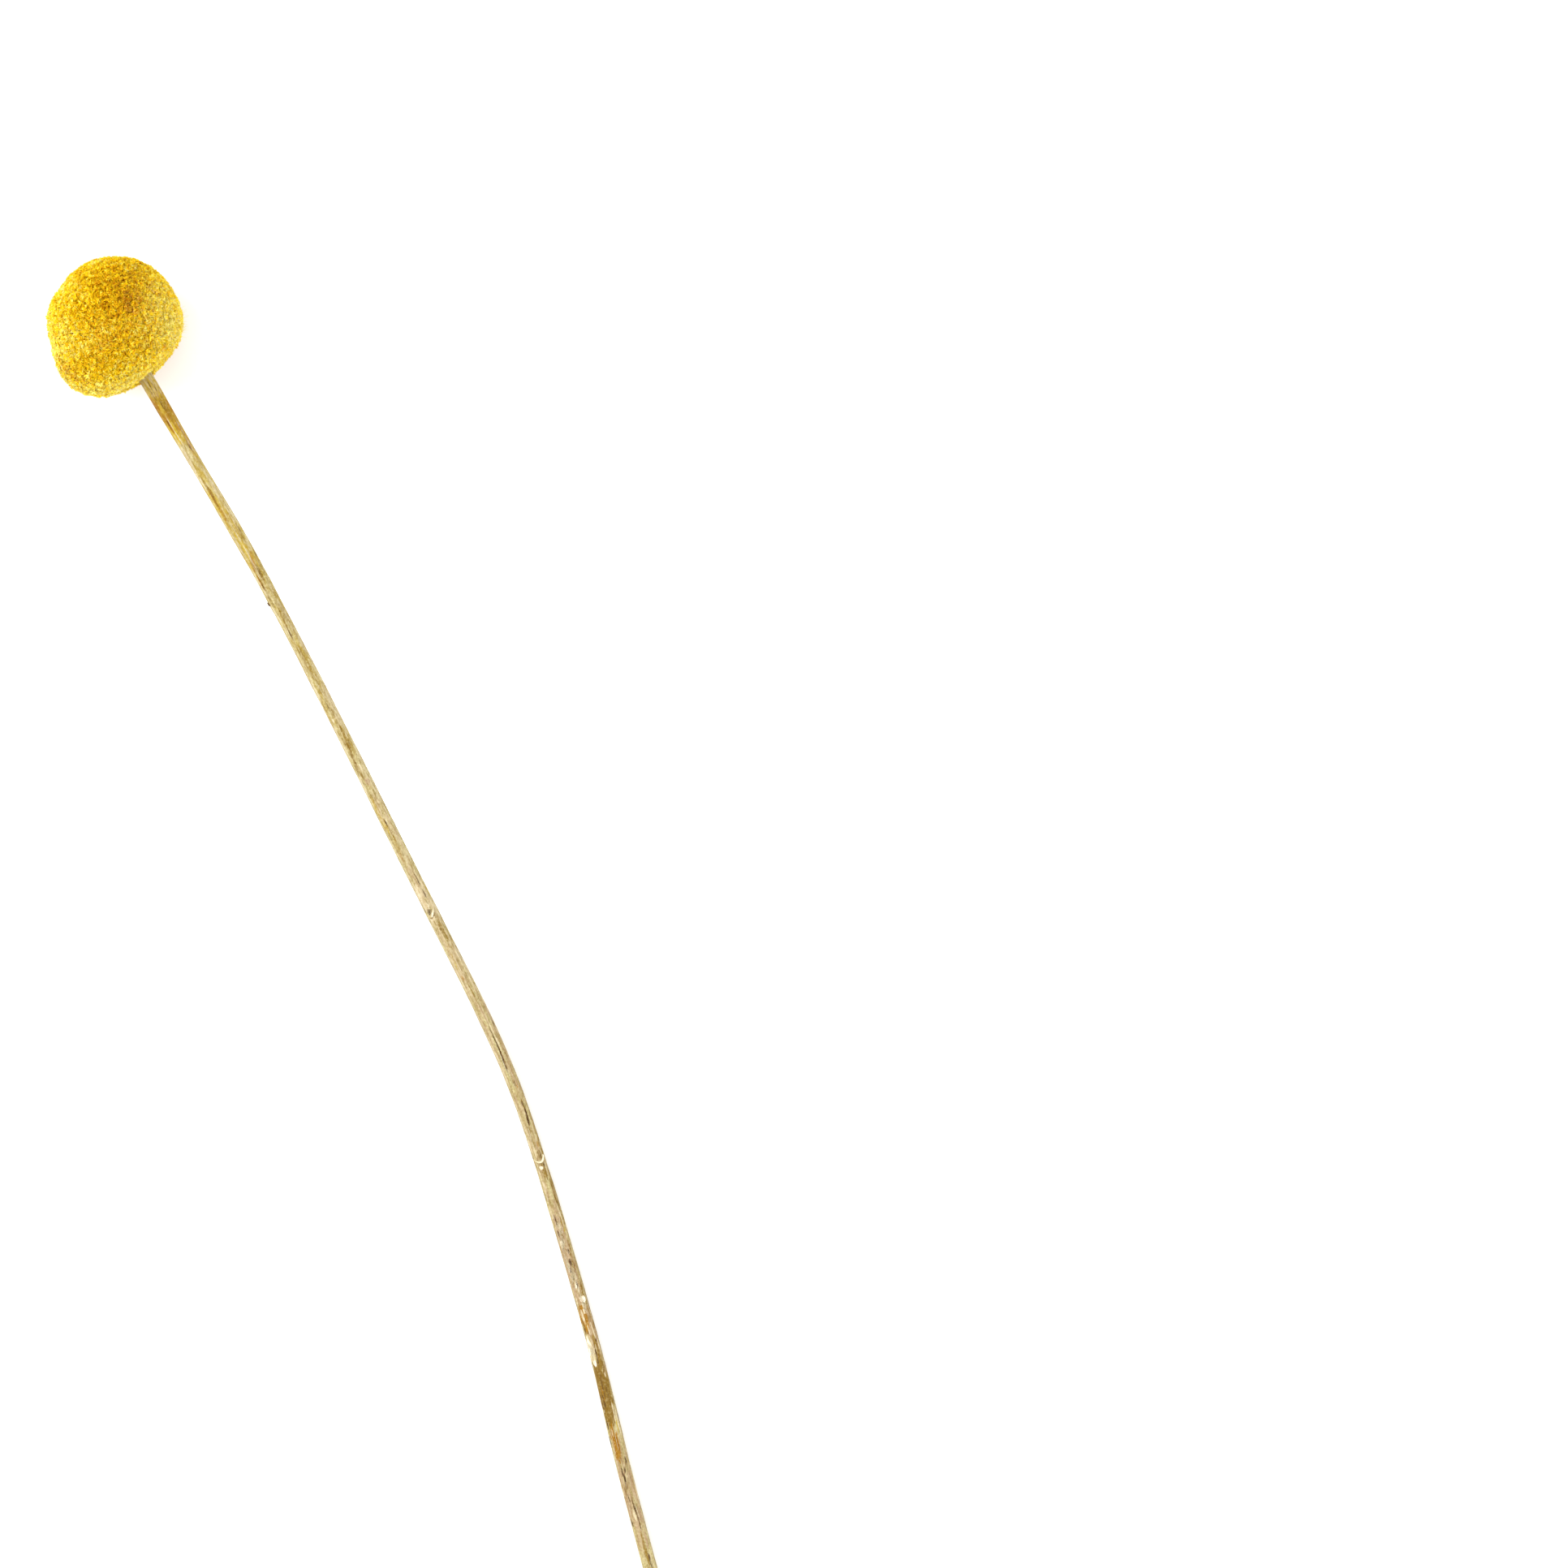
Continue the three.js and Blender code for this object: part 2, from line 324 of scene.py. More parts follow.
@dataclass(frozen=True)
class Wiring:
    """A node tree that is being wired.

    Attributes:
        tree: the node tree.
    """

    tree: NodeTree

    def feed(self, socket: Socket, value: Feed) -> None:
        """Links a socket to another, or sets its value.

        Args:
            socket: the input.
            value: an output to link, or a constant.
        """
        if isinstance(value, Socket):
            self.tree.links.new(value, socket)
        else:
            socket.default_value = value

    def add(self, kind: str, feeds: dict[str | int, Feed] | None = None, **settings: object) -> Node:
        """Adds a node.

        Args:
            kind: its type, without the words ShaderNode.
            feeds: what goes into its inputs, by name or number.
            **settings: its own properties.

        Returns:
            The node.
        """
        node = self.tree.nodes.new(f"ShaderNode{kind}")
        for name, value in settings.items():
            setattr(node, name, value)
        for socket, value in (feeds or {}).items():
            self.feed(node.inputs[socket], value)
        return node

    def math(self, operation: str, first: Feed, second: Feed) -> Socket:
        """Returns the outcome of an arithmetic step on two values."""
        return self.add("Math", {0: first, 1: second}, operation=operation).outputs[0]

    def times(self, first: Feed, second: Feed) -> Socket:
        """Returns the product of two values."""
        return self.math("MULTIPLY", first, second)

    def plus(self, first: Feed, second: Feed) -> Socket:
        """Returns the sum of two values."""
        return self.math("ADD", first, second)

    def tint(self, share: Feed, colour: Feed, tint: str, blend: str = "MIX") -> Socket:
        """Returns a colour that goes to a hex colour by a share."""
        feeds = {0: share, 6: colour, 7: linear(tint)}
        return self.add("Mix", feeds, data_type="RGBA", blend_type=blend).outputs[2]

    def rise(self, value: Feed, low: float, high: float, top: float = 1.0) -> Socket:
        """Returns a smooth rise from nothing at low to top at high."""
        feeds = {"Value": value, "From Min": low, "From Max": high, "To Min": 0.0, "To Max": top}
        return self.add("MapRange", feeds, interpolation_type="SMOOTHSTEP").outputs["Result"]

    def attribute(self, name: str, output: str = "Fac") -> Socket:
        """Returns what the mesh holds under a name."""
        return self.add("Attribute", attribute_name=name).outputs[output]

    def place(self) -> Socket:
        """Returns the place on the piece, in object coordinates."""
        return self.add("TexCoord").outputs["Object"]

    def noise(self, vector: Feed, scale: float, detail: float = 2.0, roughness: float = 0.5) -> Socket:
        """Returns a noise from 0 to 1."""
        feeds = {"Vector": vector, "Scale": scale, "Detail": detail, "Roughness": roughness}
        return self.add("TexNoise", feeds).outputs[0]

    def ramp(self, value: Feed, stops: Sequence[tuple[float, str]]) -> Socket:
        """Returns a colour that runs through the stops.

        Args:
            value: where to read the ramp.
            stops: each a place from 0 to 1 and a hex colour.

        Returns:
            The colour.
        """
        node = self.add("ValToRGB", {0: value})
        elements = node.color_ramp.elements
        while len(elements) < len(stops):
            elements.new(0.5)
        for element, (position, colour) in zip(elements, stops):
            element.position = position
            element.color = linear(colour)
        return node.outputs[0]


def node_group(
    name: str, inputs: dict[str, str], outputs: dict[str, str]
) -> tuple[Wiring, dict[str, Socket], dict[str, Socket]]:
    """Starts a shared node group.

    Args:
        name: its name.
        inputs: its inputs, each a name and a socket type.
        outputs: its outputs, each a name and a socket type.

    Returns:
        The wiring, the values that come in by name, and the sockets to feed by name.
    """
    tree = bpy.data.node_groups.new(name, "ShaderNodeTree")
    for direction, sockets in (("INPUT", inputs), ("OUTPUT", outputs)):
        for label, kind in sockets.items():
            tree.interface.new_socket(label, in_out=direction, socket_type=f"NodeSocket{kind}")
    coming = tree.nodes.new("NodeGroupInput")
    going = tree.nodes.new("NodeGroupOutput")
    return Wiring(tree), {n: coming.outputs[n] for n in inputs}, {n: going.inputs[n] for n in outputs}


# The colours that a floret's tone stands for, from lemon to umber.
BLOOM_TONES = (
    (0.0, "#FDEA74"), (0.2, "#FEDA26"), (0.42, "#F9C706"),
    (0.62, "#ECAE03"), (0.8, "#D89202"), (1.0, "#AE6802"),
)


def bloom_group() -> NodeTree:
    """Returns the shared group that colours a dry floret from its tone and from root to tip.

    Greenish florets have less mottle, and where it is high they go to a pale lemon.
    """
    name = "bloom_colour"
    if name in bpy.data.node_groups:
        return bpy.data.node_groups[name]
    labels = ("Tone", "Green", "Reach", "Mottle", "Root Shade", "Tip Bleach")
    wiring, values, out = node_group(name, dict.fromkeys(labels, "Float"), {"Color": "Color"})
    strength = wiring.plus(2.4, wiring.rise(values["Green"], 0.0, 0.5, -1.5))
    mottle = wiring.times(wiring.math("SUBTRACT", values["Mottle"], 0.5), strength)
    colour = wiring.ramp(wiring.plus(values["Tone"], mottle), BLOOM_TONES)
    lemon = wiring.times(values["Green"], wiring.rise(values["Mottle"], 0.42, 0.58, 1.5))
    colour = wiring.tint(lemon, colour, "#FBEC8C")
    depth = wiring.times(wiring.rise(values["Reach"], 0.85, 0.1), values["Root Shade"])
    colour = wiring.tint(depth, colour, "#D08A02")
    paleness = wiring.times(wiring.rise(values["Reach"], 0.72, 1.0), values["Tip Bleach"])
    wiring.feed(out["Color"], wiring.tint(paleness, colour, "#FFE02C"))
    return wiring.tree


def grain_group() -> NodeTree:
    """Returns the shared group that draws long fibres along the x of a vector."""
    name = "dry_grain"
    if name in bpy.data.node_groups:
        return bpy.data.node_groups[name]
    incoming = {"Vector": "Vector", "Length": "Float", "Width": "Float"}
    wiring, values, out = node_group(name, incoming, dict.fromkeys(("Fibre", "Blotch", "Height"), "Float"))
    length, width = values["Length"], values["Width"]
    size = wiring.add("CombineXYZ", {0: length, 1: width, 2: width}).outputs[0]
    stretched = wiring.add("VectorMath", {0: values["Vector"], 1: size}, operation="DIVIDE").outputs[0]
    fine = wiring.noise(stretched, 1.0, 3.0, 0.6)
    coarse = wiring.noise(stretched, 0.34, 2.0)
    wiring.feed(out["Fibre"], wiring.rise(fine, 0.42, 0.68))
    wiring.feed(out["Blotch"], wiring.rise(coarse, 0.3, 0.7))
    wiring.feed(out["Height"], wiring.times(wiring.plus(fine, coarse), 0.5))
    return wiring.tree


def grouped(wiring: Wiring, group: NodeTree, feeds: dict[str, Feed]) -> Node:
    """Places a shared group in a material.

    Args:
        wiring: the material's tree.
        group: the shared group.
        feeds: what goes into its inputs.

    Returns:
        The group's node.
    """
    node = wiring.tree.nodes.new("ShaderNodeGroup")
    node.node_tree = group
    for socket, value in feeds.items():
        wiring.feed(node.inputs[socket], value)
    return node


def grain(wiring: Wiring, length: float, width: float) -> Node:
    """Places the shared grain in a stem finish, with its fibres along the stem.

    Args:
        wiring: the material's tree.
        length: how long its fibres are.
        width: how wide they are.

    Returns:
        The group's node.
    """
    straight = wiring.attribute("straight", "Vector")
    return grouped(wiring, grain_group(), {"Vector": straight, "Length": length, "Width": width})


# ---- finishes ----


@dataclass(frozen=True)
class Finish:
    """A procedural material with one Principled shader.

    Attributes:
        name: the material's name.
        roughness: how matt it is.
        gloss: how strongly it mirrors light.
        glow: how much of the light goes through its surface before it comes out again.
        glow_depth: how deep that light goes.
        glow_reach: how far its red, green and blue go, as shares of that depth.
    """

    name: str
    roughness: float = 0.6
    gloss: float = 0.25
    glow: float = 0.0
    glow_depth: float = 0.5 * MM
    glow_reach: Triple = (1.0, 0.6, 0.15)

    def material(self) -> Material:
        """Makes the material, with its constant values on the shader's own sockets, and wires it."""
        made = bpy.data.materials.new(self.name)
        made.use_nodes = True
        shader = made.node_tree.nodes["Principled BSDF"]
        shader.inputs["Roughness"].default_value = self.roughness
        shader.inputs["Specular IOR Level"].default_value = self.gloss
        shader.inputs["Subsurface Weight"].default_value = self.glow
        shader.inputs["Subsurface Radius"].default_value = self.glow_reach
        shader.inputs["Subsurface Scale"].default_value = self.glow_depth
        self.wire(Wiring(made.node_tree), shader)
        return made

    def wire(self, wiring: Wiring, shader: Node) -> None:
        """Wires what changes over the surface.

        Args:
            wiring: the material's tree.
            shader: its Principled shader.
        """
        raise NotImplementedError

    def bump(self, wiring: Wiring, shader: Node, height: Feed, depth: float) -> None:
        """Raises the surface a little.

        Args:
            wiring: the material's tree.
            shader: its Principled shader.
            height: a height from 0 to 1.
            depth: how high that is, in metres.
        """
        node = wiring.add("Bump", {"Height": height, "Distance": depth, "Strength": 1.0})
        wiring.feed(shader.inputs["Normal"], node.outputs["Normal"])


@dataclass(frozen=True)
class BloomFinish(Finish):
    """Dry yellow flower matter, deeper at its root and brighter at its tip.

    Attributes:
        roughness, gloss, glow: as in Finish, for soft and barely shining florets.
        root_shade: how far the root goes to a deep amber.
        tip_bleach: how far the tip goes to a clear yellow.
        shift: what is added to the tone, towards umber.
        mottle: how fine its mottle is, in spots a metre.
    """

    roughness: float = 0.7
    gloss: float = 0.04
    glow: float = 0.35
    root_shade: float = 0.8
    tip_bleach: float = 0.3
    shift: float = 0.0
    mottle: float = 1350.0

    def wire(self, wiring: Wiring, shader: Node) -> None:
        """Wires the tone, the reach and a fine mottle into the colour."""
        feeds = {
            "Tone": wiring.plus(wiring.attribute("tone"), self.shift),
            "Green": wiring.attribute("green"),
            "Reach": wiring.attribute("reach"),
            "Mottle": wiring.noise(wiring.place(), self.mottle, 3.0, 0.65),
            "Root Shade": self.root_shade,
            "Tip Bleach": self.tip_bleach,
        }
        colour = grouped(wiring, bloom_group(), feeds).outputs["Color"]
        wiring.feed(shader.inputs["Base Color"], colour)


@dataclass(frozen=True)
class ChaffFinish(Finish):
    """The golden bed under the florets, with a speckle of chaff.

    Attributes:
        speckle: how fine the speckle is, in specks a metre.
        relief: how high the chaff stands out.
    """

    speckle: float = 1400.0
    relief: float = 0.15 * MM

    def wire(self, wiring: Wiring, shader: Node) -> None:
        """Wires a speckle of chaff and its relief."""
        speckle = wiring.noise(wiring.place(), self.speckle, 4.0, 0.7)
        colour = wiring.ramp(speckle, ((0.3, "#BC8608"), (0.5, "#DBA30C"), (0.7, "#EDC01E")))
        wiring.feed(shader.inputs["Base Color"], colour)
        self.bump(wiring, shader, speckle, self.relief)


# The straw under the streaks, from its dull to its pale stretches.
STRAW_TONES = ((0.0, "#96864C"), (0.35, "#A2945A"), (0.65, "#AB9F69"), (1.0, "#B3AA77"))


@dataclass(frozen=True)
class StrawFinish(Finish):
    """The stem's dry ribbed skin: straw with fibres, and the tints of its streaks. Some of its colour is
    painted light: highlights on the rib crests and some pale streaks, and shade in the rib valleys.

    Attributes:
        fibre: length and width of the fibres.
        drift: length and width of the slow changes of the straw's colour.
        fleck: length and width of the flecks, which also fray the streaks.
        stripe: length and width of the short stripes that shade everything.
        speckle: how fine the speckle is, in specks a metre.
        relief: how high the fibres stand out.
        matting: how much more matt a fibre is than the skin between.
    """

    fibre: Pair = (9.0 * MM, 0.16 * MM)
    drift: Pair = (34.0 * MM, 0.7 * MM)
    fleck: Pair = (1.4 * MM, 0.26 * MM)
    stripe: Pair = (1.6 * MM, 0.2 * MM)
    speckle: float = 2200.0
    relief: float = 0.05 * MM
    matting: float = 0.25

    def wire(self, wiring: Wiring, shader: Node) -> None:
        """Wires the straw, the streaks on it, and a speckle and stripes over both."""
        fibres, flecks = grain(wiring, *self.fibre), grain(wiring, *self.fleck)
        speckle = wiring.noise(wiring.place(), self.speckle, 2.0, 0.6)
        threads = wiring.rise(flecks.outputs["Height"], 0.38, 0.62)
        gaps = wiring.math("SUBTRACT", 1.0, threads)
        straw = self.straw(wiring, fibres.outputs["Fibre"], flecks.outputs["Fibre"], speckle, gaps)
        colour = self.streaked(wiring, straw, threads, gaps)
        colour = wiring.tint(wiring.rise(speckle, 0.5, 0.68, 0.36), colour, "#C4A868", "MULTIPLY")
        colour = wiring.tint(wiring.rise(speckle, 0.48, 0.36, 0.14), colour, "#D8CDA0")
        shade = wiring.times(grain(wiring, *self.stripe).outputs["Blotch"], 0.55)
        wiring.feed(shader.inputs["Base Color"], wiring.tint(shade, colour, "#C9B48C", "MULTIPLY"))
        matt = wiring.plus(wiring.times(fibres.outputs["Fibre"], self.matting), self.roughness)
        wiring.feed(shader.inputs["Roughness"], matt)
        self.bump(wiring, shader, fibres.outputs["Height"], self.relief)

    def straw(self, wiring: Wiring, fibre: Feed, fleck: Feed, speckle: Feed, gaps: Feed) -> Socket:
        """Colours the bare straw, with a painted highlight on the rib crests and painted shade in the
        valleys.

        Args:
            wiring: the material's tree.
            fibre: where its long fibres are.
            fleck: where its short flecks are.
            speckle: its speckle.
            gaps: the gaps between the flecks.

        Returns:
            The colour.
        """
        rib = wiring.attribute("rib")
        layers = (
            (wiring.times(fibre, 0.36), "#68521F"),
            # Painted highlight on the rib crests, and painted shade in the valleys between them.
            (wiring.rise(rib, 0.45, 1.0, 0.3), "#B5A67A"),
            (wiring.rise(rib, 0.35, 0.0, 0.45), "#5E4820"),
            (wiring.times(fleck, 0.38), "#5E481A"),
            (wiring.rise(speckle, 0.5, 0.34, 0.25), "#D8CDA0"),
            (wiring.times(gaps, 0.3), "#C2B796"),
        )
        colour = wiring.ramp(grain(wiring, *self.drift).outputs["Blotch"], STRAW_TONES)
        for share, tint in layers:
            colour = wiring.tint(share, colour, tint)
        return colour

    def streaked(self, wiring: Wiring, colour: Feed, threads: Feed, gaps: Feed) -> Feed:
        """Lays the streaks over a colour, each kind frayed along threads or gaps.

        Args:
            wiring: the material's tree.
            colour: the colour under them.
            threads: the threads of the skin.
            gaps: the gaps between them.

        Returns:
            The colour with its streaks.
        """
        tints = (
            (StreakKind.GOLD, threads, "#AE9426"),
            (StreakKind.BLUSH, gaps, "#A48C6E"),
            (StreakKind.OLIVE, threads, "#7A5D12"),
            (StreakKind.AMBER, gaps, "#946806"),
            (StreakKind.DARK, threads, "#442A10"),
            # The pale tint is weathered straw in some streaks, and painted highlights and painted light in
            # others.
            (StreakKind.BLEACH, gaps, "#C6BA9A"),
            (StreakKind.CHALK, gaps, "#F2EBDA"),
        )
        for kind, pattern, tint in tints:
            frayed = wiring.times(wiring.attribute(kind.value), wiring.plus(pattern, 0.5))
            colour = wiring.tint(wiring.rise(frayed, 0.12, 0.85, 0.95), colour, tint)
        return colour


@dataclass(frozen=True)
class HuskFinish(Finish):
    """Papery remains of a leaf, from brown at the root to pale at the torn edge.

    Attributes:
        root: the colour at the root.
        edge: the colour at the torn edge.
        fibre: length and width of its fibres.
        relief: how high they stand out.
    """

    root: str = "#6A4E26"
    edge: str = "#B2A378"
    fibre: Pair = (2.4 * MM, 0.1 * MM)
    relief: float = 0.06 * MM

    def wire(self, wiring: Wiring, shader: Node) -> None:
        """Wires the run from root to edge, broken by fibres."""
        fibres = grain(wiring, *self.fibre)
        share = wiring.rise(wiring.attribute("reach"), 0.05, 0.8)
        colour = wiring.tint(share, linear(self.root), self.edge)
        colour = wiring.tint(wiring.times(fibres.outputs["Fibre"], 0.45), colour, "#A07C40")
        wiring.feed(shader.inputs["Base Color"], colour)
        self.bump(wiring, shader, fibres.outputs["Height"], self.relief)


@dataclass(frozen=True)
class PithFinish(Finish):
    """The cut end: cream pith inside a ring of darker strands.

    Attributes:
        cells: how fine its cells are, in cells a metre.
        relief: how high they stand out.
    """

    cells: float = 3600.0
    relief: float = 0.08 * MM

    def wire(self, wiring: Wiring, shader: Node) -> None:
        """Wires the ring of strands round the spongy middle."""
        feeds = {"Vector": wiring.place(), "Scale": self.cells}
        cells = wiring.add("TexVoronoi", feeds).outputs["Distance"]
        rim = wiring.rise(wiring.attribute("reach"), 0.55, 0.95)
        colour = wiring.tint(rim, linear("#E2D6B0"), "#A8894A")
        colour = wiring.tint(wiring.rise(cells, 0.25, 0.8, 0.4), colour, "#9A7A42")
        wiring.feed(shader.inputs["Base Color"], colour)
        self.bump(wiring, shader, cells, self.relief)


@dataclass(frozen=True)
class PaperFinish(Finish):
    """The plain pale table."""

    def wire(self, wiring: Wiring, shader: Node) -> None:
        """Wires a barely seen unevenness."""
        cloud = wiring.noise(wiring.place(), 3.0, 2.0)
        wiring.feed(shader.inputs["Base Color"], wiring.ramp(cloud, ((0.3, "#F7F7F6"), (0.7, "#F9F9F8"))))


# ---- flower head ----


@dataclass(frozen=True)
class Swelling:
    """A place where the ball stands out or lies in.

    Attributes:
        turn: where it lies round the ball, in degrees seen from above, from +X towards +Y.
        rise: how far it stands out, in millimetres.
        spread: degrees at which three fifths of it are left.
    """

    turn: float
    rise: float
    spread: float


@dataclass(frozen=True)
class Patch:
    """Florets that are darker or paler than the rest. Round the rim, the paler ones are partly a painted pale
    rim light.

    Attributes:
        towards: their direction from the middle of the ball.
        shift: what they add to the tone, towards umber.
        spread: degrees at which three fifths of it are left.
        green: how far they go to a greenish cream.
    """

    towards: Triple
    shift: float
    spread: float
    green: float = 0.0


@dataclass(frozen=True)
class Plumage:
    """One kind of strand that covers the head, and how its tufts are made.

    Attributes:
        finish: its finish. The piece takes its name.
        outline: the strand's rings, each a height and a width.
        tufts: how many tufts would cover the whole ball.
        strands: how many strands a tuft has.
        spread: from the middle of a tuft to its edge.
        width: a strand's least and greatest width.
        sink: how far the tips lie under the ball's surface, at least and at most.
        length: from a tip down to its root, square to the ball.
        lean: how far the outermost strands lean, in degrees.
        stray: how far a strand may turn from the way out of its tuft, in degrees.
        tilt: how far a whole tuft may lean, in degrees.
        bow: how far a strand bows, in its own widths.
    """

    finish: BloomFinish
    outline: tuple[Pair, ...]
    tufts: int
    strands: int
    spread: float
    width: Pair
    sink: Pair
    length: float
    lean: float
    stray: float
    tilt: float = 12.0
    bow: float = 0.0


@dataclass(frozen=True)
class Floret:
    """One floret: a slender funnel with a lobed mouth and a deep throat.

    Attributes:
        lobes: how many lobes its mouth has.
        across: the width of its mouth.
        height: from its root to its mouth.
        rim: how wide the rim round the throat is, as a share of the mouth's radius.
        throat: how deep the throat is.
        lobe_size: how far a lobe reaches out, at least and at most, as a share of the mouth's radius.
        lobe_curl: how far it curls down or up, in millimetres.
        notch_size: how far the edge reaches out between two lobes, as a share of that radius.
        notch_drop: how much lower it lies there.
        toning: how far its tone strays from its tuft's, either way.
    """

    lobes: int = 5
    across: float = 0.7 * MM
    height: float = 1.2 * MM
    rim: float = 0.5
    throat: float = 0.3 * MM
    lobe_size: Pair = (0.9, 1.12)
    lobe_curl: Pair = (-0.05, 0.1)
    notch_size: float = 0.7
    notch_drop: float = 0.1 * MM
    toning: float = 0.1

    def model(self, draw: Draw) -> Mesh:
        """Models the floret, with its mouth at z = 0 and its attribute reach highest at the lobes."""
        throat_reach, notch_reach, mouth_reach = 0.12, 0.75, 1.0
        shape = blank("reach", "tone")
        reach, tone = (shape.verts.layers.float[name] for name in ("reach", "tone"))
        over = Matrix.Translation((0.0, 0.0, -self.height / 2)) @ Matrix.Rotation(math.pi, 4, "X")
        bmesh.ops.create_cone(
            shape, cap_ends=True, segments=2 * self.lobes, radius1=self.across / 2, radius2=0.0,
            depth=self.height, matrix=over,
        )
        mouth = max(shape.faces, key=lambda face: len(face.verts))
        edge = list(mouth.verts)
        rim = self.rim * self.across / 2
        bmesh.ops.inset_individual(shape, faces=[mouth], thickness=rim, depth=-self.throat)
        own = draw.uniform(-self.toning, self.toning)
        for vertex in shape.verts:
            vertex[tone] = own
        for vertex in mouth.verts:
            vertex[reach] = throat_reach
        for number, vertex in enumerate(edge):
            lobe = number % 2 == 0
            share = draw.uniform(*self.lobe_size) if lobe else self.notch_size
            curl = draw.uniform(*self.lobe_curl) * MM
            vertex.co = Vector((vertex.co.x * share, vertex.co.y * share, curl))
            vertex.co.z -= 0.0 if lobe else self.notch_drop
            vertex[reach] = mouth_reach if lobe else notch_reach
        return finished(shape, "floret")


@dataclass(frozen=True)
class StemRoute:
    """The stem's middle line and its girth.

    Attributes:
        head: the middle of the flower head.
        bends: points of the middle line: along, sideways and height above the table, in millimetres.
        top: radius over the ribs where the stem is thinnest.
        end: radius over the ribs at the cut end.
        flare: how much it widens as it meets the head.
        flare_at: where along the stem that is.
        flare_length: over which most of the flare is gone.
        bulges: slow changes of the girth: along, rise and spread, in millimetres.
        samples: how many samples of the middle line lie between two of its points.
    """

    head: Triple
    bends: tuple[Triple, ...] = (
        (0.0, 0.0, 13.45), (25.5, 4.6, 11.8), (56.0, 10.1, 9.7), (96.5, 15.3, 6.8),
        (117.0, 17.6, 5.35), (135.0, 19.7, 4.05), (157.0, 22.25, 2.7), (173.0, 23.25, 1.95),
        (189.5, 22.95, 1.43), (204.0, 22.2, 1.29), (229.0, 20.5, 1.46), (254.5, 17.8, 1.7),
        (275.0, 16.0, 1.9), (350.0, 9.6, 2.3), (437.0, 0.0, 1.65),
    )
    top: float = 1.24 * MM
    end: float = 1.65 * MM
    flare: float = 0.3 * MM
    flare_at: float = 14.1 * MM
    flare_length: float = 14.0 * MM
    bulges: tuple[Triple, ...] = (
        (48.0, 0.17, 8.0), (186.0, -0.1, 8.0), (222.0, -0.12, 28.0), (249.0, 0.09, 7.0),
    )
    samples: int = 500

    def line(self) -> tuple[Array, Array]:
        """Works out the middle line: a centripetal curve through its points.

        Returns:
            The distance along the line at each sample, and the sample's place.
        """
        points = np.array(self.bends) * MM
        points[:, :2] += self.head[:2]
        padded = np.vstack([2 * points[0] - points[1], points, 2 * points[-1] - points[-2]])
        share = np.linspace(0.0, 1.0, self.samples, endpoint=False)[:, None]
        spans = []
        for before, start, finish, after in zip(padded, padded[1:], padded[2:], padded[3:]):
            gaps = ((before, start), (start, finish), (finish, after))
            one, two, three = (math.sqrt(np.linalg.norm(b - a)) for a, b in gaps)
            leave = (start - before) / one - (finish - before) / (one + two) + (finish - start) / two
            arrive = (finish - start) / two - (after - start) / (two + three) + (after - finish) / three
            spans.append(cubic(start, finish, leave * two, arrive * two, share)[0])
        line = np.vstack([*spans, points[-1]])
        steps = np.linalg.norm(np.diff(line, axis=0), axis=1)
        return np.concatenate([[0.0], np.cumsum(steps)]), line

    def length(self) -> float:
        """Returns the length from the middle of the head to the cut end."""
        return float(self.line()[0][-1])

    def frames(self, along: Array) -> tuple[Array, Array, Array, Array]:
        """Gives the stem's middle and directions.

        Args:
            along: distances from the middle of the head.

        Returns:
            For each, the middle, the direction onward, the one across to +Y and the one over.
        """
        distance, line = self.line()
        slope = np.gradient(line, distance, axis=0)
        middle = np.stack([np.interp(along, distance, line[:, i]) for i in range(3)], axis=1)
        forward = unit(np.stack([np.interp(along, distance, slope[:, i]) for i in range(3)], axis=1))
        across = unit(np.cross(np.array(UP), forward))
        return middle, forward, across, np.cross(forward, across)

    def girth(self, along: Array) -> Array:
        """Returns the radius over the ribs at each distance along the stem."""
        radius = self.top + (self.end - self.top) * along / self.length()
        radius = radius + self.flare * np.exp(-(((along - self.flare_at) / self.flare_length) ** 2))
        for at, rise, spread in self.bulges:
            radius = radius + rise * MM * np.exp(-0.5 * ((along - at * MM) / (spread * MM)) ** 2)
        return radius

    def laid(self, mesh: Mesh) -> Mesh:
        """Bends a mesh that was modelled along the x axis to the stem's line.

        Its straight places stay in the attribute straight.

        Args:
            mesh: the mesh, with x the distance along the stem, y across it and z over it.

        Returns:
            The mesh.
        """
        straight = places(mesh)
        middle, _, across, over = self.frames(straight[:, 0])
        mark(mesh, "straight", straight)
        put(mesh, middle + across * straight[:, 1:2] + over * straight[:, 2:3])
        return mesh


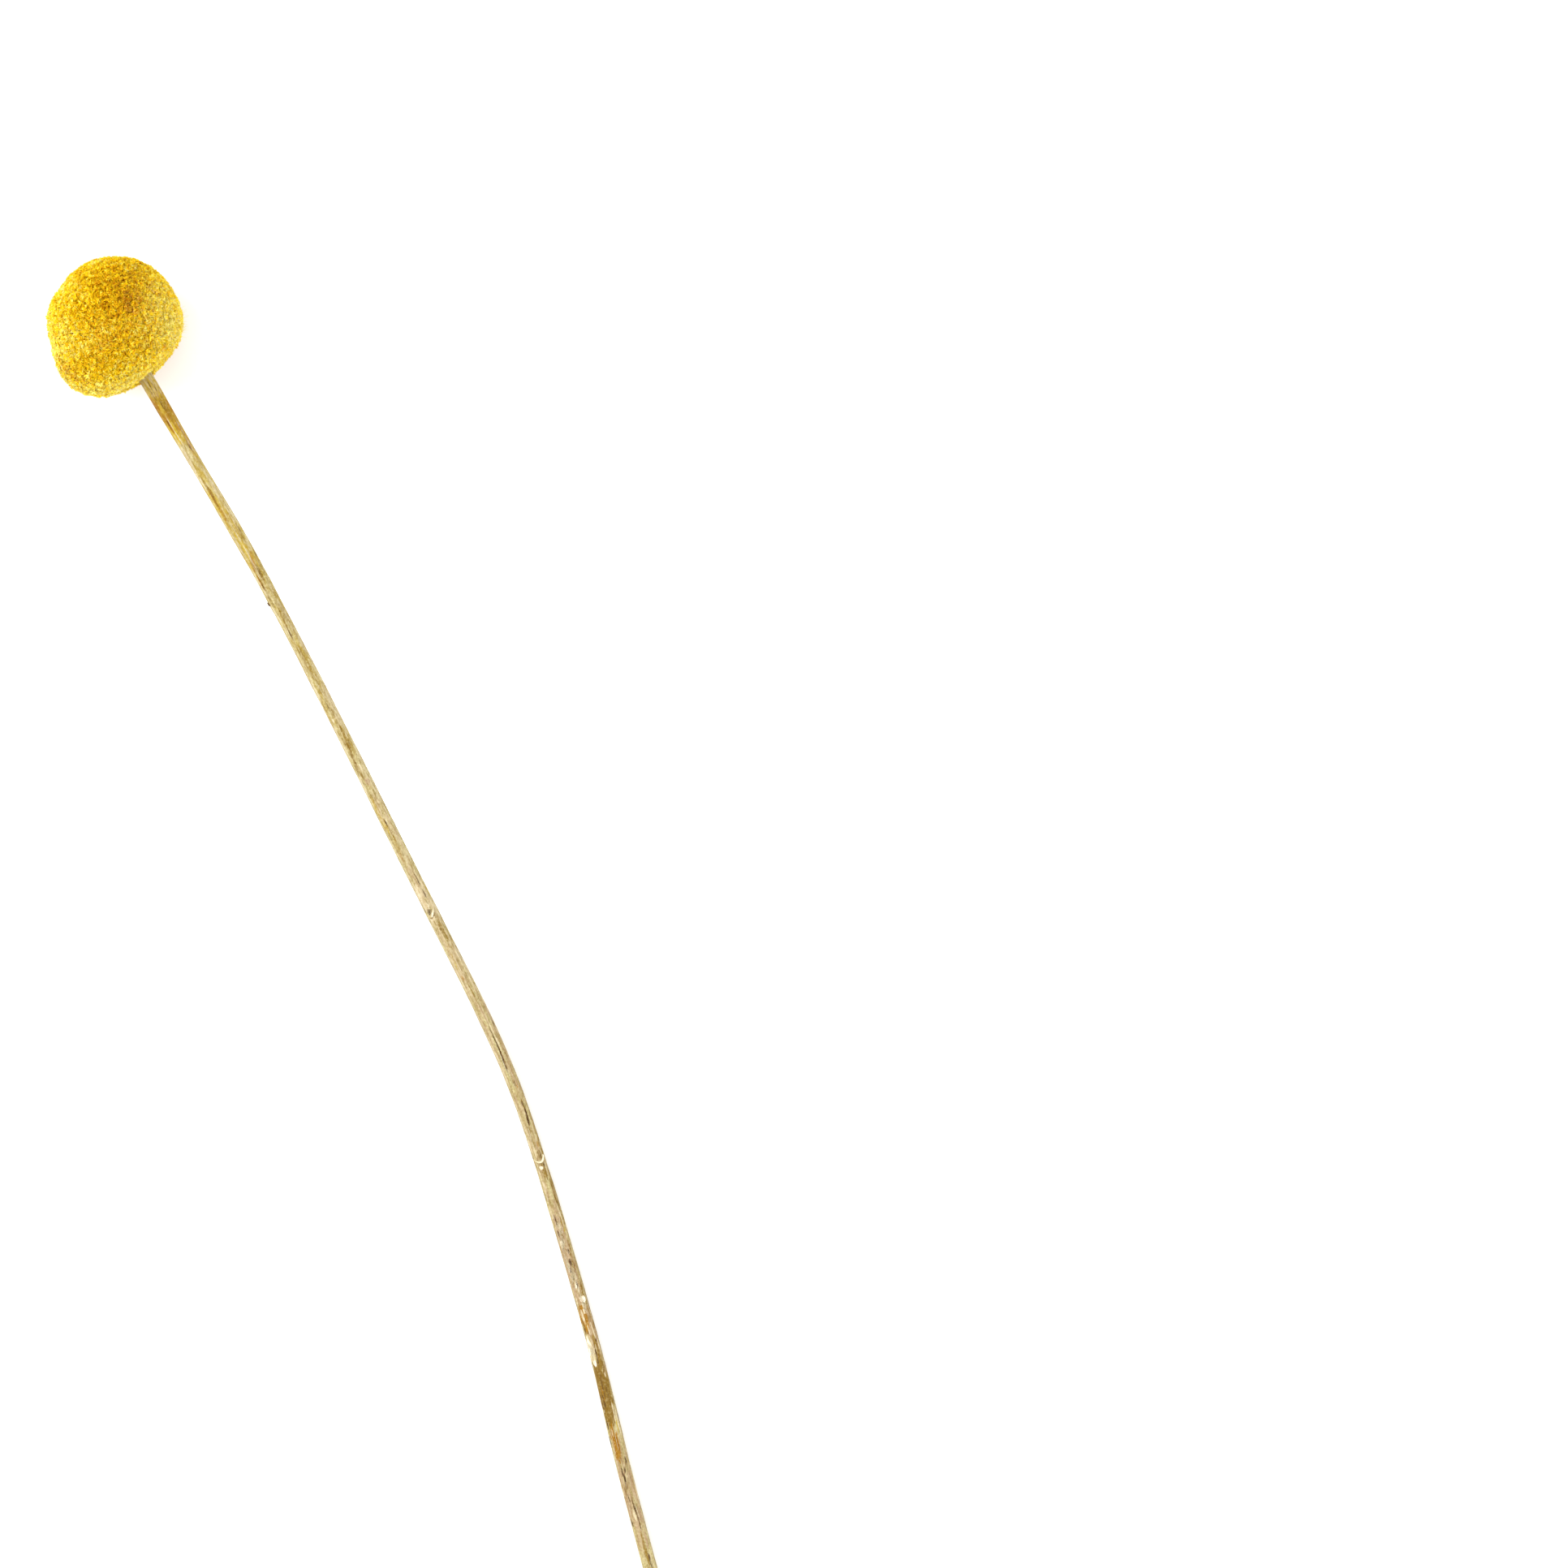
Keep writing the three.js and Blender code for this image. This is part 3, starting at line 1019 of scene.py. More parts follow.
@dataclass(frozen=True)
class FlowerHead:
    """The round head: a bed of chaff, and on it several hundred tufts of florets and bristles.

    Attributes:
        stem: the stem that it sits on.
        centre: the middle of the ball.
        radius: from there to the tips of the tufts.
        swellings: where the ball stands out or lies in.
        patches: where its florets are darker or paler; round the rim the paler, greenish ones are partly
            painted rim light.
        plain_tone: the tone of its florets outside the patches.
        floret: one of its florets.
        florets: how many tufts of florets would cover the whole ball.
        floret_finish: their finish.
        plumage: the strands that cover it.
        lump_waves: lumps of crowded tufts, as two crossing waves each, with their weight.
        lump_height: how far they stand out.
        lift: how unevenly single tufts stand out.
        lift_limit: the most that one stands out or lies in, as a multiple of lift.
        tuft_sizes: the size of a tuft beside its template's, at least and at most.
        bed_depth: from the tips down to the bed.
        tuft_reach: from the middle of a tuft of florets to its edge.
        shake: how far each tuft is shaken from the spiral, as a share of the radius.
        evening_rounds: how often crowded tufts are then pushed apart.
        variants: how many different tufts are modelled.
        clear_of_stem: no tuft stands nearer than this to the stem's middle line.
        table_gap: how far the lowest tips stay above the table.
        pressed: height under which tips are pressed flatter.
        bracts: how many bracts ring the neck.
        wisp_side: the side on which most of the long hairs stand out.
        wisps_there: how many stand out there.
        wisps_anywhere: how many stand out anywhere.
        seed: the seed of its random draws.
    """

    stem: StemRoute
    centre: Triple
    radius: float = 14.1 * MM
    swellings: tuple[Swelling, ...] = (
        Swelling(-47.0, 1.5, 17.0), Swelling(-68.0, 0.45, 12.0), Swelling(-38.0, -0.25, 7.0),
        Swelling(-10.0, -0.95, 9.0), Swelling(8.0, -0.6, 16.0), Swelling(21.0, -0.9, 13.0),
        Swelling(-146.0, -0.6, 9.0), Swelling(145.0, 0.15, 8.0), Swelling(32.0, -1.9, 20.5),
        Swelling(172.0, 0.3, 26.0), Swelling(-124.0, 0.35, 10.0), Swelling(-97.0, -0.3, 13.0),
        Swelling(96.0, -0.25, 16.0),
    )
    patches: tuple[Patch, ...] = (
        Patch((-0.45, 0.25, 0.86), 0.26, 23.0), Patch((-0.20, 0.41, 0.89), 0.32, 7.0),
        Patch((0.14, 0.81, 0.57), -0.26, 20.0, 0.2), Patch((-0.51, -0.66, 0.55), -0.10, 24.0),
        Patch((0.45, -0.76, 0.47), 0.18, 10.0), Patch((0.35, -0.18, 0.92), 0.12, 12.0),
        Patch((0.08, -0.71, 0.70), -0.22, 12.0), Patch((0.82, -0.53, 0.20), -0.28, 14.0),
        Patch((0.82, 0.05, 0.57), -0.24, 12.0), Patch((0.17, -0.22, 0.96), -0.12, 9.0, 0.04),
        # The pale, greenish patches round the rim, near the table's level, are partly the florets' own paler
        # tone and partly a painted pale rim light.
        Patch((0.50, 0.86, 0.05), -0.05, 15.0, 0.2), Patch((0.93, 0.37, 0.10), -0.10, 15.0, 0.35),
        Patch((0.98, -0.20, 0.10), -0.10, 13.0, 0.35), Patch((0.60, -0.80, 0.05), -0.06, 13.0, 0.15),
        Patch((0.10, -0.99, 0.05), -0.08, 15.0, 0.3), Patch((-0.30, 0.55, -0.78), 0.20, 26.0),
        Patch((0.10, -0.80, -0.60), -0.15, 22.0, 0.2),
    )
    plain_tone: float = 0.42
    floret: Floret = Floret()
    florets: int = 745
    floret_finish: BloomFinish = BloomFinish("florets", root_shade=0.6, tip_bleach=0.15)
    plumage: tuple[Plumage, ...] = (
        Plumage(
            BloomFinish("bristles", root_shade=0.35, tip_bleach=0.25),
            outline=((0.0, 0.5), (0.74, 1.0)),
            tufts=820, strands=23, spread=1.05 * MM,
            width=(0.2 * MM, 0.32 * MM), sink=(-0.12 * MM, 0.22 * MM),
            length=1.1 * MM, lean=52.0, stray=30.0, bow=0.5,
        ),
        Plumage(
            BloomFinish("plumes", root_shade=0.35, tip_bleach=0.2, shift=0.02),
            outline=((0.0, 1.0),),
            tufts=1300, strands=26, spread=0.9 * MM,
            width=(0.16 * MM, 0.26 * MM), sink=(-0.02 * MM, 0.24 * MM),
            length=0.7 * MM, lean=64.0, stray=180.0,
        ),
        Plumage(
            BloomFinish("under_plumes", root_shade=0.3, tip_bleach=0.0, shift=0.12),
            outline=((0.0, 1.0),),
            tufts=1300, strands=24, spread=0.9 * MM,
            width=(0.22 * MM, 0.32 * MM), sink=(0.35 * MM, 0.6 * MM),
            length=0.55 * MM, lean=68.0, stray=180.0,
        ),
    )
    lump_waves: tuple[tuple[tuple[float, ...], tuple[float, ...], float], ...] = (
        ((21.0, 9.0, 14.0), (-12.0, 19.0, 10.0), 0.6),
        ((41.0, 17.0, 29.0), (-23.0, 37.0, 19.0), 0.4),
    )
    lump_height: float = 0.16 * MM
    lift: float = 0.11 * MM
    lift_limit: float = 1.5
    tuft_sizes: Pair = (0.92, 1.1)
    bed_depth: float = 1.25 * MM
    tuft_reach: float = 1.1 * MM
    shake: float = 0.07
    evening_rounds: int = 5
    variants: int = 8
    clear_of_stem: float = 2.1 * MM
    table_gap: float = 0.03 * MM
    pressed: float = 0.5 * MM
    bracts: int = 64
    wisp_side: Triple = (0.33, 0.93, 0.1)
    wisps_there: int = 46
    wisps_anywhere: int = 130
    seed: int = 745

    def lumps(self, directions: Array) -> Array:
        """Returns an unevenness from -1 to 1, as of tufts that crowd together, in each direction."""
        total = np.zeros(len(directions))
        for first, second, weight in self.lump_waves:
            total += weight * (np.sin(directions @ np.array(first)) * np.sin(directions @ np.array(second)))
        return total

    def radii(self, directions: Array) -> Array:
        """Returns the ball's radius in each direction from its middle."""
        radius = self.radius + self.lump_height * self.lumps(directions)
        for swelling in self.swellings:
            turn = math.radians(swelling.turn)
            towards = np.array((math.cos(turn), math.sin(turn), 0.0))
            radius += swelling.rise * MM * nearness(directions, towards, swelling.spread)
        return radius

    def sites(self, draw: Draw, count: int) -> Array:
        """Spreads the tufts over the ball: a spiral in steps of the golden angle, shaken, then evened out.

        Args:
            draw: the random draw.
            count: how many tufts there would be on the whole ball.

        Returns:
            The directions of the tufts that are clear of the stem, one row each.
        """
        steps = np.arange(count)
        x = 1.0 - (2.0 * steps + 1.0) / count
        ring = np.sqrt(1.0 - x * x)
        angle = steps * math.pi * (3.0 - math.sqrt(5.0))
        spread = np.stack([x, ring * np.cos(angle), ring * np.sin(angle)], axis=1)
        spread += np.array([[draw.uniform(-self.shake, self.shake) for _ in range(3)] for _ in steps])
        pitch, crowded, step = math.sqrt(4.0 * math.pi / count), 1.25, 0.3
        for _ in range(self.evening_rounds):
            spread = unit(spread)
            apart = spread[:, None, :] - spread[None, :, :]
            gap = np.linalg.norm(apart, axis=2) + np.eye(count)
            push = (apart * np.clip(crowded * pitch / gap - 1.0, 0.0, 1.0)[:, :, None]).sum(axis=1)
            spread += step * push
        spread = unit(spread)
        spots = self.centre + spread * self.radii(spread)[:, None]
        middle, forward, _, _ = self.stem.frames(np.array([self.radius]))
        offset = spots - middle
        ahead = offset @ forward[0]
        beside = np.linalg.norm(offset - ahead[:, None] * forward, axis=1)
        return spread[(ahead < -self.radius) | (beside > self.clear_of_stem)]

    def tone_marks(self, mesh: Mesh, owner: Array, draw: Draw, unevenness: float) -> None:
        """Stores each vertex's tone and greenness.

        In a greenish patch the strands are more alike in tone, and the darker one is, the less green it is.

        Args:
            mesh: the mesh, in its place. Its attribute tone holds each strand's own shift.
            owner: which tuft each vertex belongs to.
            draw: the random draw.
            unevenness: how far the tone strays from tuft to tuft.
        """
        directions = unit(places(mesh) - self.centre)
        strand = marked(mesh, "tone")
        tone, green = np.full(len(directions), self.plain_tone), np.zeros(len(directions))
        for patch in self.patches:
            towards = np.array(patch.towards) / np.linalg.norm(patch.towards)
            share = nearness(directions, towards, patch.spread)
            tone += patch.shift * share
            green += patch.green * share
        own = np.array([draw.gauss(0.0, unevenness) for _ in range(int(owner.max()) + 1)])
        least_contrast, greenest = 0.3, 12.0
        contrast = np.clip(1.0 - 2.0 * green, least_contrast, 1.0)
        greening = 1.0 - greenest * strand
        mark(mesh, "tone", tone + own[owner] + strand * contrast)
        mark(mesh, "green", np.clip(green * greening, 0.0, 1.0))

    def press(self, mesh: Mesh) -> None:
        """Presses what would pass through the table flatter and flatter above it."""
        spots = places(mesh)
        room = self.pressed - self.table_gap
        low = spots[:, 2] < self.pressed
        spots[low, 2] = self.table_gap + room * np.exp((spots[low, 2] - self.pressed) / room)
        put(mesh, spots)

    def scatter(
        self, name: str, templates: list[Mesh], directions: Array, draw: Draw, tilt: float
    ) -> tuple[Mesh, Array]:
        """Stands a tuft at each site.

        Args:
            name: the name of the mesh.
            templates: the tufts to choose from, modelled with z outwards and their tips at z = 0.
            directions: the sites.
            draw: the random draw.
            tilt: how far a tuft may lean, in degrees.

        Returns:
            The mesh, and which site each vertex belongs to.
        """
        shape = blank("reach", "tone")
        counts = []
        for direction, radius in zip(directions, self.radii(directions)):
            outward = Vector(direction)
            template = templates[draw.randrange(len(templates))]
            lifted = radius + self.lift * max(-self.lift_limit, min(self.lift_limit, draw.gauss(0.0, 1.0)))
            spot = Matrix.Translation(Vector(self.centre) + outward * lifted)
            lean = Matrix.Rotation(math.radians(draw.uniform(-tilt, tilt)), 4, "X")
            spin, size = spun(draw), Matrix.Scale(draw.uniform(*self.tuft_sizes), 4)
            stamp(shape, template, spot @ turned_to(outward) @ lean @ spin @ size)
            counts.append(len(template.vertices))
        mesh = finished(shape, name)
        self.press(mesh)
        return mesh, np.repeat(np.arange(len(counts)), counts)

    def bed(self) -> Mesh:
        """Models the bed that the tufts stand on, uneven as chaff is."""
        shape = bmesh.new()
        bmesh.ops.create_icosphere(shape, subdivisions=6, radius=1.0)
        mesh = finished(shape, "bed")
        directions = unit(places(mesh))
        put(mesh, self.centre + directions * (self.radii(directions) - self.bed_depth)[:, None])
        return mesh

    def floret_tuft(self, draw: Draw) -> Mesh:
        """Models the florets of one tuft: a ring of them that lean out, and one in their middle."""
        ring, ring_reach, middle_reach = 4, (0.6, 0.8), 0.1
        shift, depths, leans, sizes = 0.2, (0.3, 0.6), (12.0, 36.0), (0.78, 1.05)
        shape = blank("reach", "tone")
        for number in range(ring + 1):
            floret = self.floret.model(draw)
            out = self.tuft_reach * (draw.uniform(*ring_reach) if number < ring else middle_reach)
            around = math.tau * (number + draw.uniform(-shift, shift)) / ring
            aside = Matrix.Translation((out, 0.0, -draw.uniform(*depths) * MM))
            lean = Matrix.Rotation(math.radians(out / self.tuft_reach * draw.uniform(*leans)), 4, "Y")
            spin, size = spun(draw), Matrix.Scale(draw.uniform(*sizes), 4)
            stamp(shape, floret, Matrix.Rotation(around, 4, "Z") @ aside @ lean @ spin @ size)
            bpy.data.meshes.remove(floret)
        return finished(shape, "floret_tuft")

    def strand_tuft(self, strand: Mesh, look: Plumage, draw: Draw) -> Mesh:
        """Models the strands of one tuft, which fan out from its middle.

        Args:
            strand: a strand of unit length and width.
            look: how the tuft is made.
            draw: the random draw.

        Returns:
            The mesh, with its tips near z = 0.
        """
        inner_lean, lean_stray, dome, toning = 0.3, 10.0, 0.25 * MM, 0.2
        shape = blank("reach", "tone")
        tone = shape.verts.layers.float["tone"]
        for _ in range(look.strands):
            share = math.sqrt(draw.random())
            tilt = look.lean * (inner_lean + (1.0 - inner_lean) * share)
            tilt = math.radians(tilt + draw.uniform(-lean_stray, lean_stray))
            top = -draw.uniform(*look.sink) - dome * share**2
            out = spun(draw)
            tip = Matrix.Translation((look.spread * share, 0.0, top))
            stray = Matrix.Rotation(math.radians(draw.uniform(-look.stray, look.stray)), 4, "Z")
            turn = Matrix.Rotation(tilt, 4, "Y") @ spun(draw)
            girth, length = draw.uniform(*look.width), look.length / math.cos(tilt)
            size = Matrix.Diagonal((girth, girth, length, 1.0))
            first = len(shape.verts)
            stamp(shape, strand, out @ tip @ stray @ turn @ Matrix.Translation((0.0, 0.0, -length)) @ size)
            shape.verts.ensure_lookup_table()
            own = draw.uniform(-toning, toning)
            for vertex in shape.verts[first:]:
                vertex[tone] = own
        return finished(shape, "strand_tuft")

    def neck_bracts(self, draw: Draw) -> Mesh:
        """Models the slender bracts that ring the stem where it enters the head."""
        strand = strand_mesh("bract", 4, ((0.0, 0.7), (0.3, 1.0), (0.6, 0.9), (0.85, 0.5)), 0.6)
        width, thickness, neck_depth = 0.3 * MM, 0.1 * MM, 0.9 * MM
        shift, off_neck, depths, lengths = 0.08, (1.4, 1.7), (0.5, 1.2), (1.0, 1.6)
        leans, twist = (-0.1, 0.2), 0.5
        shape = blank("reach", "tone")
        at = np.array([self.radius - neck_depth])
        middle, _, across, over = (Vector(rows[0]) for rows in self.stem.frames(at))
        for number in range(self.bracts):
            around = math.tau * number / self.bracts + draw.uniform(-shift, shift)
            side = across * math.cos(around) + over * math.sin(around)
            outward = (middle + side * draw.uniform(*off_neck) * MM - Vector(self.centre)).normalized()
            radius = float(self.radii(np.array([outward]))[0]) - draw.uniform(*depths) * MM
            root = Matrix.Translation(Vector(self.centre) + outward * radius)
            lie = (side + outward * draw.uniform(*leans)).normalized()
            size = Matrix.Diagonal((width, thickness, draw.uniform(*lengths) * MM, 1.0))
            spin = Matrix.Rotation(draw.uniform(-twist, twist), 4, "Z")
            stamp(shape, strand, root @ turned_to(lie) @ spin @ size)
        return finished(shape, "neck_bracts")

    def wisps(self, draw: Draw) -> Mesh:
        """Models the few long hairs that stand out of the ball, most of them on its +Y side."""
        strand = strand_mesh("wisp", 3, ((0.0, 1.0), (0.25, 0.95), (0.5, 0.85), (0.75, 0.6)), 5.0)
        crowding, root_depth, clear_of_neck = 0.13, 0.75 * MM, 0.8
        lengths_there, lengths_anywhere, widths, stray = (1.2, 2.3), (0.9, 1.4), (0.05, 0.08), 0.5
        shape = blank("reach", "tone")
        there = np.array([[draw.gauss(0.0, crowding) for _ in range(3)] for _ in range(self.wisps_there)])
        anywhere = [[draw.gauss(0.0, 1.0) for _ in range(3)] for _ in range(self.wisps_anywhere)]
        rows = unit(np.vstack([self.wisp_side + there, anywhere]))
        rows = rows[rows[:, 0] < clear_of_neck]
        for number, (direction, radius) in enumerate(zip(rows, self.radii(rows))):
            long = draw.uniform(*(lengths_there if number < self.wisps_there else lengths_anywhere))
            outward = Vector(direction)
            lie = (outward + Vector([draw.uniform(-stray, stray) for _ in range(3)])).normalized()
            spot = Matrix.Translation(Vector(self.centre) + outward * (radius - root_depth))
            width = draw.uniform(*widths) * MM
            size = Matrix.Diagonal((width, width, long * MM, 1.0))
            stamp(shape, strand, spot @ turned_to(lie) @ spun(draw) @ size)
        return finished(shape, "wisps")

    def dress_tufts(
        self, templates: list[Mesh], count: int, finish: BloomFinish, tilt: float, unevenness: float,
        draw: Draw,
    ) -> None:
        """Covers the ball with tufts of one kind, as one piece that takes its name from its finish.

        Args:
            templates: the tufts to choose from.
            count: how many would cover the whole ball.
            finish: their finish.
            tilt: how far a tuft may lean, in degrees.
            unevenness: how far the tone strays from tuft to tuft.
            draw: the random draw.
        """
        mesh, owner = self.scatter(finish.name, templates, self.sites(draw, count), draw, tilt)
        self.tone_marks(mesh, owner, draw, unevenness)
        piece(finish.name, mesh, finish, HEAD_NODE)

    def dress_strands(self, name: str, mesh: Mesh, finish: BloomFinish, draw: Draw) -> None:
        """Presses and dresses a piece of single strands.

        Args:
            name: the piece's name.
            mesh: its mesh.
            finish: its finish.
            draw: the random draw.
        """
        self.press(mesh)
        self.tone_marks(mesh, np.zeros(len(mesh.vertices), int), draw, 0.0)
        piece(name, mesh, finish, HEAD_NODE)

    def build(self) -> None:
        """Builds and dresses every piece of the head."""
        draw = Draw(self.seed)
        piece("receptacle", self.bed(), ChaffFinish("chaff", 0.9), HEAD_NODE)
        tufts = [self.floret_tuft(draw) for _ in range(self.variants)]
        self.dress_tufts(tufts, self.florets, self.floret_finish, tilt=8.0, unevenness=0.1, draw=draw)
        for look in self.plumage:
            strand = strand_mesh("strand", 3, look.outline, look.bow)
            tufts = [self.strand_tuft(strand, look, draw) for _ in range(self.variants)]
            self.dress_tufts(tufts, look.tufts, look.finish, look.tilt, unevenness=0.13, draw=draw)
        stiff = {"roughness": 0.6, "gloss": 0.25, "glow": 0.0}
        bract = BloomFinish("bract", **stiff, root_shade=0.4, tip_bleach=0.4, shift=-0.12)
        self.dress_strands("neck_bracts", self.neck_bracts(draw), bract, draw)
        wisp = BloomFinish("wisp", **stiff, root_shade=0.0, tip_bleach=0.0, shift=-0.4)
        self.dress_strands("wisps", self.wisps(draw), wisp, draw)


# ---- stem ----


@dataclass(frozen=True)
class Streak:
    """A tinted streak on the stem's skin.

    Attributes:
        kind: its tint.
        along: where its middle lies along the stem, in millimetres.
        turn: the side of the stem that it lies on, in degrees.
        length: its length, in millimetres.
        width: its width round the stem, in millimetres.
        strength: how far it covers the straw colour.
        drift: how far round the stem it turns from its start to its end, in degrees.
    """

    kind: StreakKind
    along: float
    turn: float
    length: float
    width: float
    strength: float
    drift: float = 0.0

    def share(self, along: Array, turn: Array, girth: Array, ragged: Array) -> Array:
        """Works out how much of the streak each spot of the skin has.

        Args:
            along: distances along the stem, in metres.
            turn: sides of the stem, in radians.
            girth: the stem's radius there.
            ragged: an unevenness from -1 to 1 that frays the streak's edge.

        Returns:
            A share from 0 to the streak's strength.
        """
        fray, full, gone = 0.18, 0.7, 1.2
        ahead = (along - self.along * MM) / (self.length * MM)
        middle = math.radians(self.turn) + math.radians(self.drift) * ahead
        beside = (turn - middle + math.pi) % math.tau - math.pi
        reach = np.hypot(2.0 * ahead, 2.0 * beside * girth / (self.width * MM))
        return self.strength * (1.0 - smooth_share(reach + fray * ragged, full, gone))


@dataclass(frozen=True)
class Pit:
    """A small hollow in the stem's skin.

    Attributes:
        along: where it lies along the stem, in millimetres.
        turn: the side of the stem, in degrees.
        length: its length, in millimetres.
        width: its width, in millimetres.
        depth: its depth, in millimetres. A negative one is a rise.
    """

    along: float
    turn: float
    length: float
    width: float
    depth: float

    def hollow(self, along: Array, turn: Array, girth: Array) -> Array:
        """Returns how deep the skin lies, in metres, for each spot given as in Streak.share."""
        ahead = 2.0 * (along - self.along * MM) / (self.length * MM)
        beside = (turn - math.radians(self.turn) + math.pi) % math.tau - math.pi
        across = 2.0 * beside * girth / (self.width * MM)
        return self.depth * MM * np.exp(-((ahead**2 + across**2) ** 1.2))


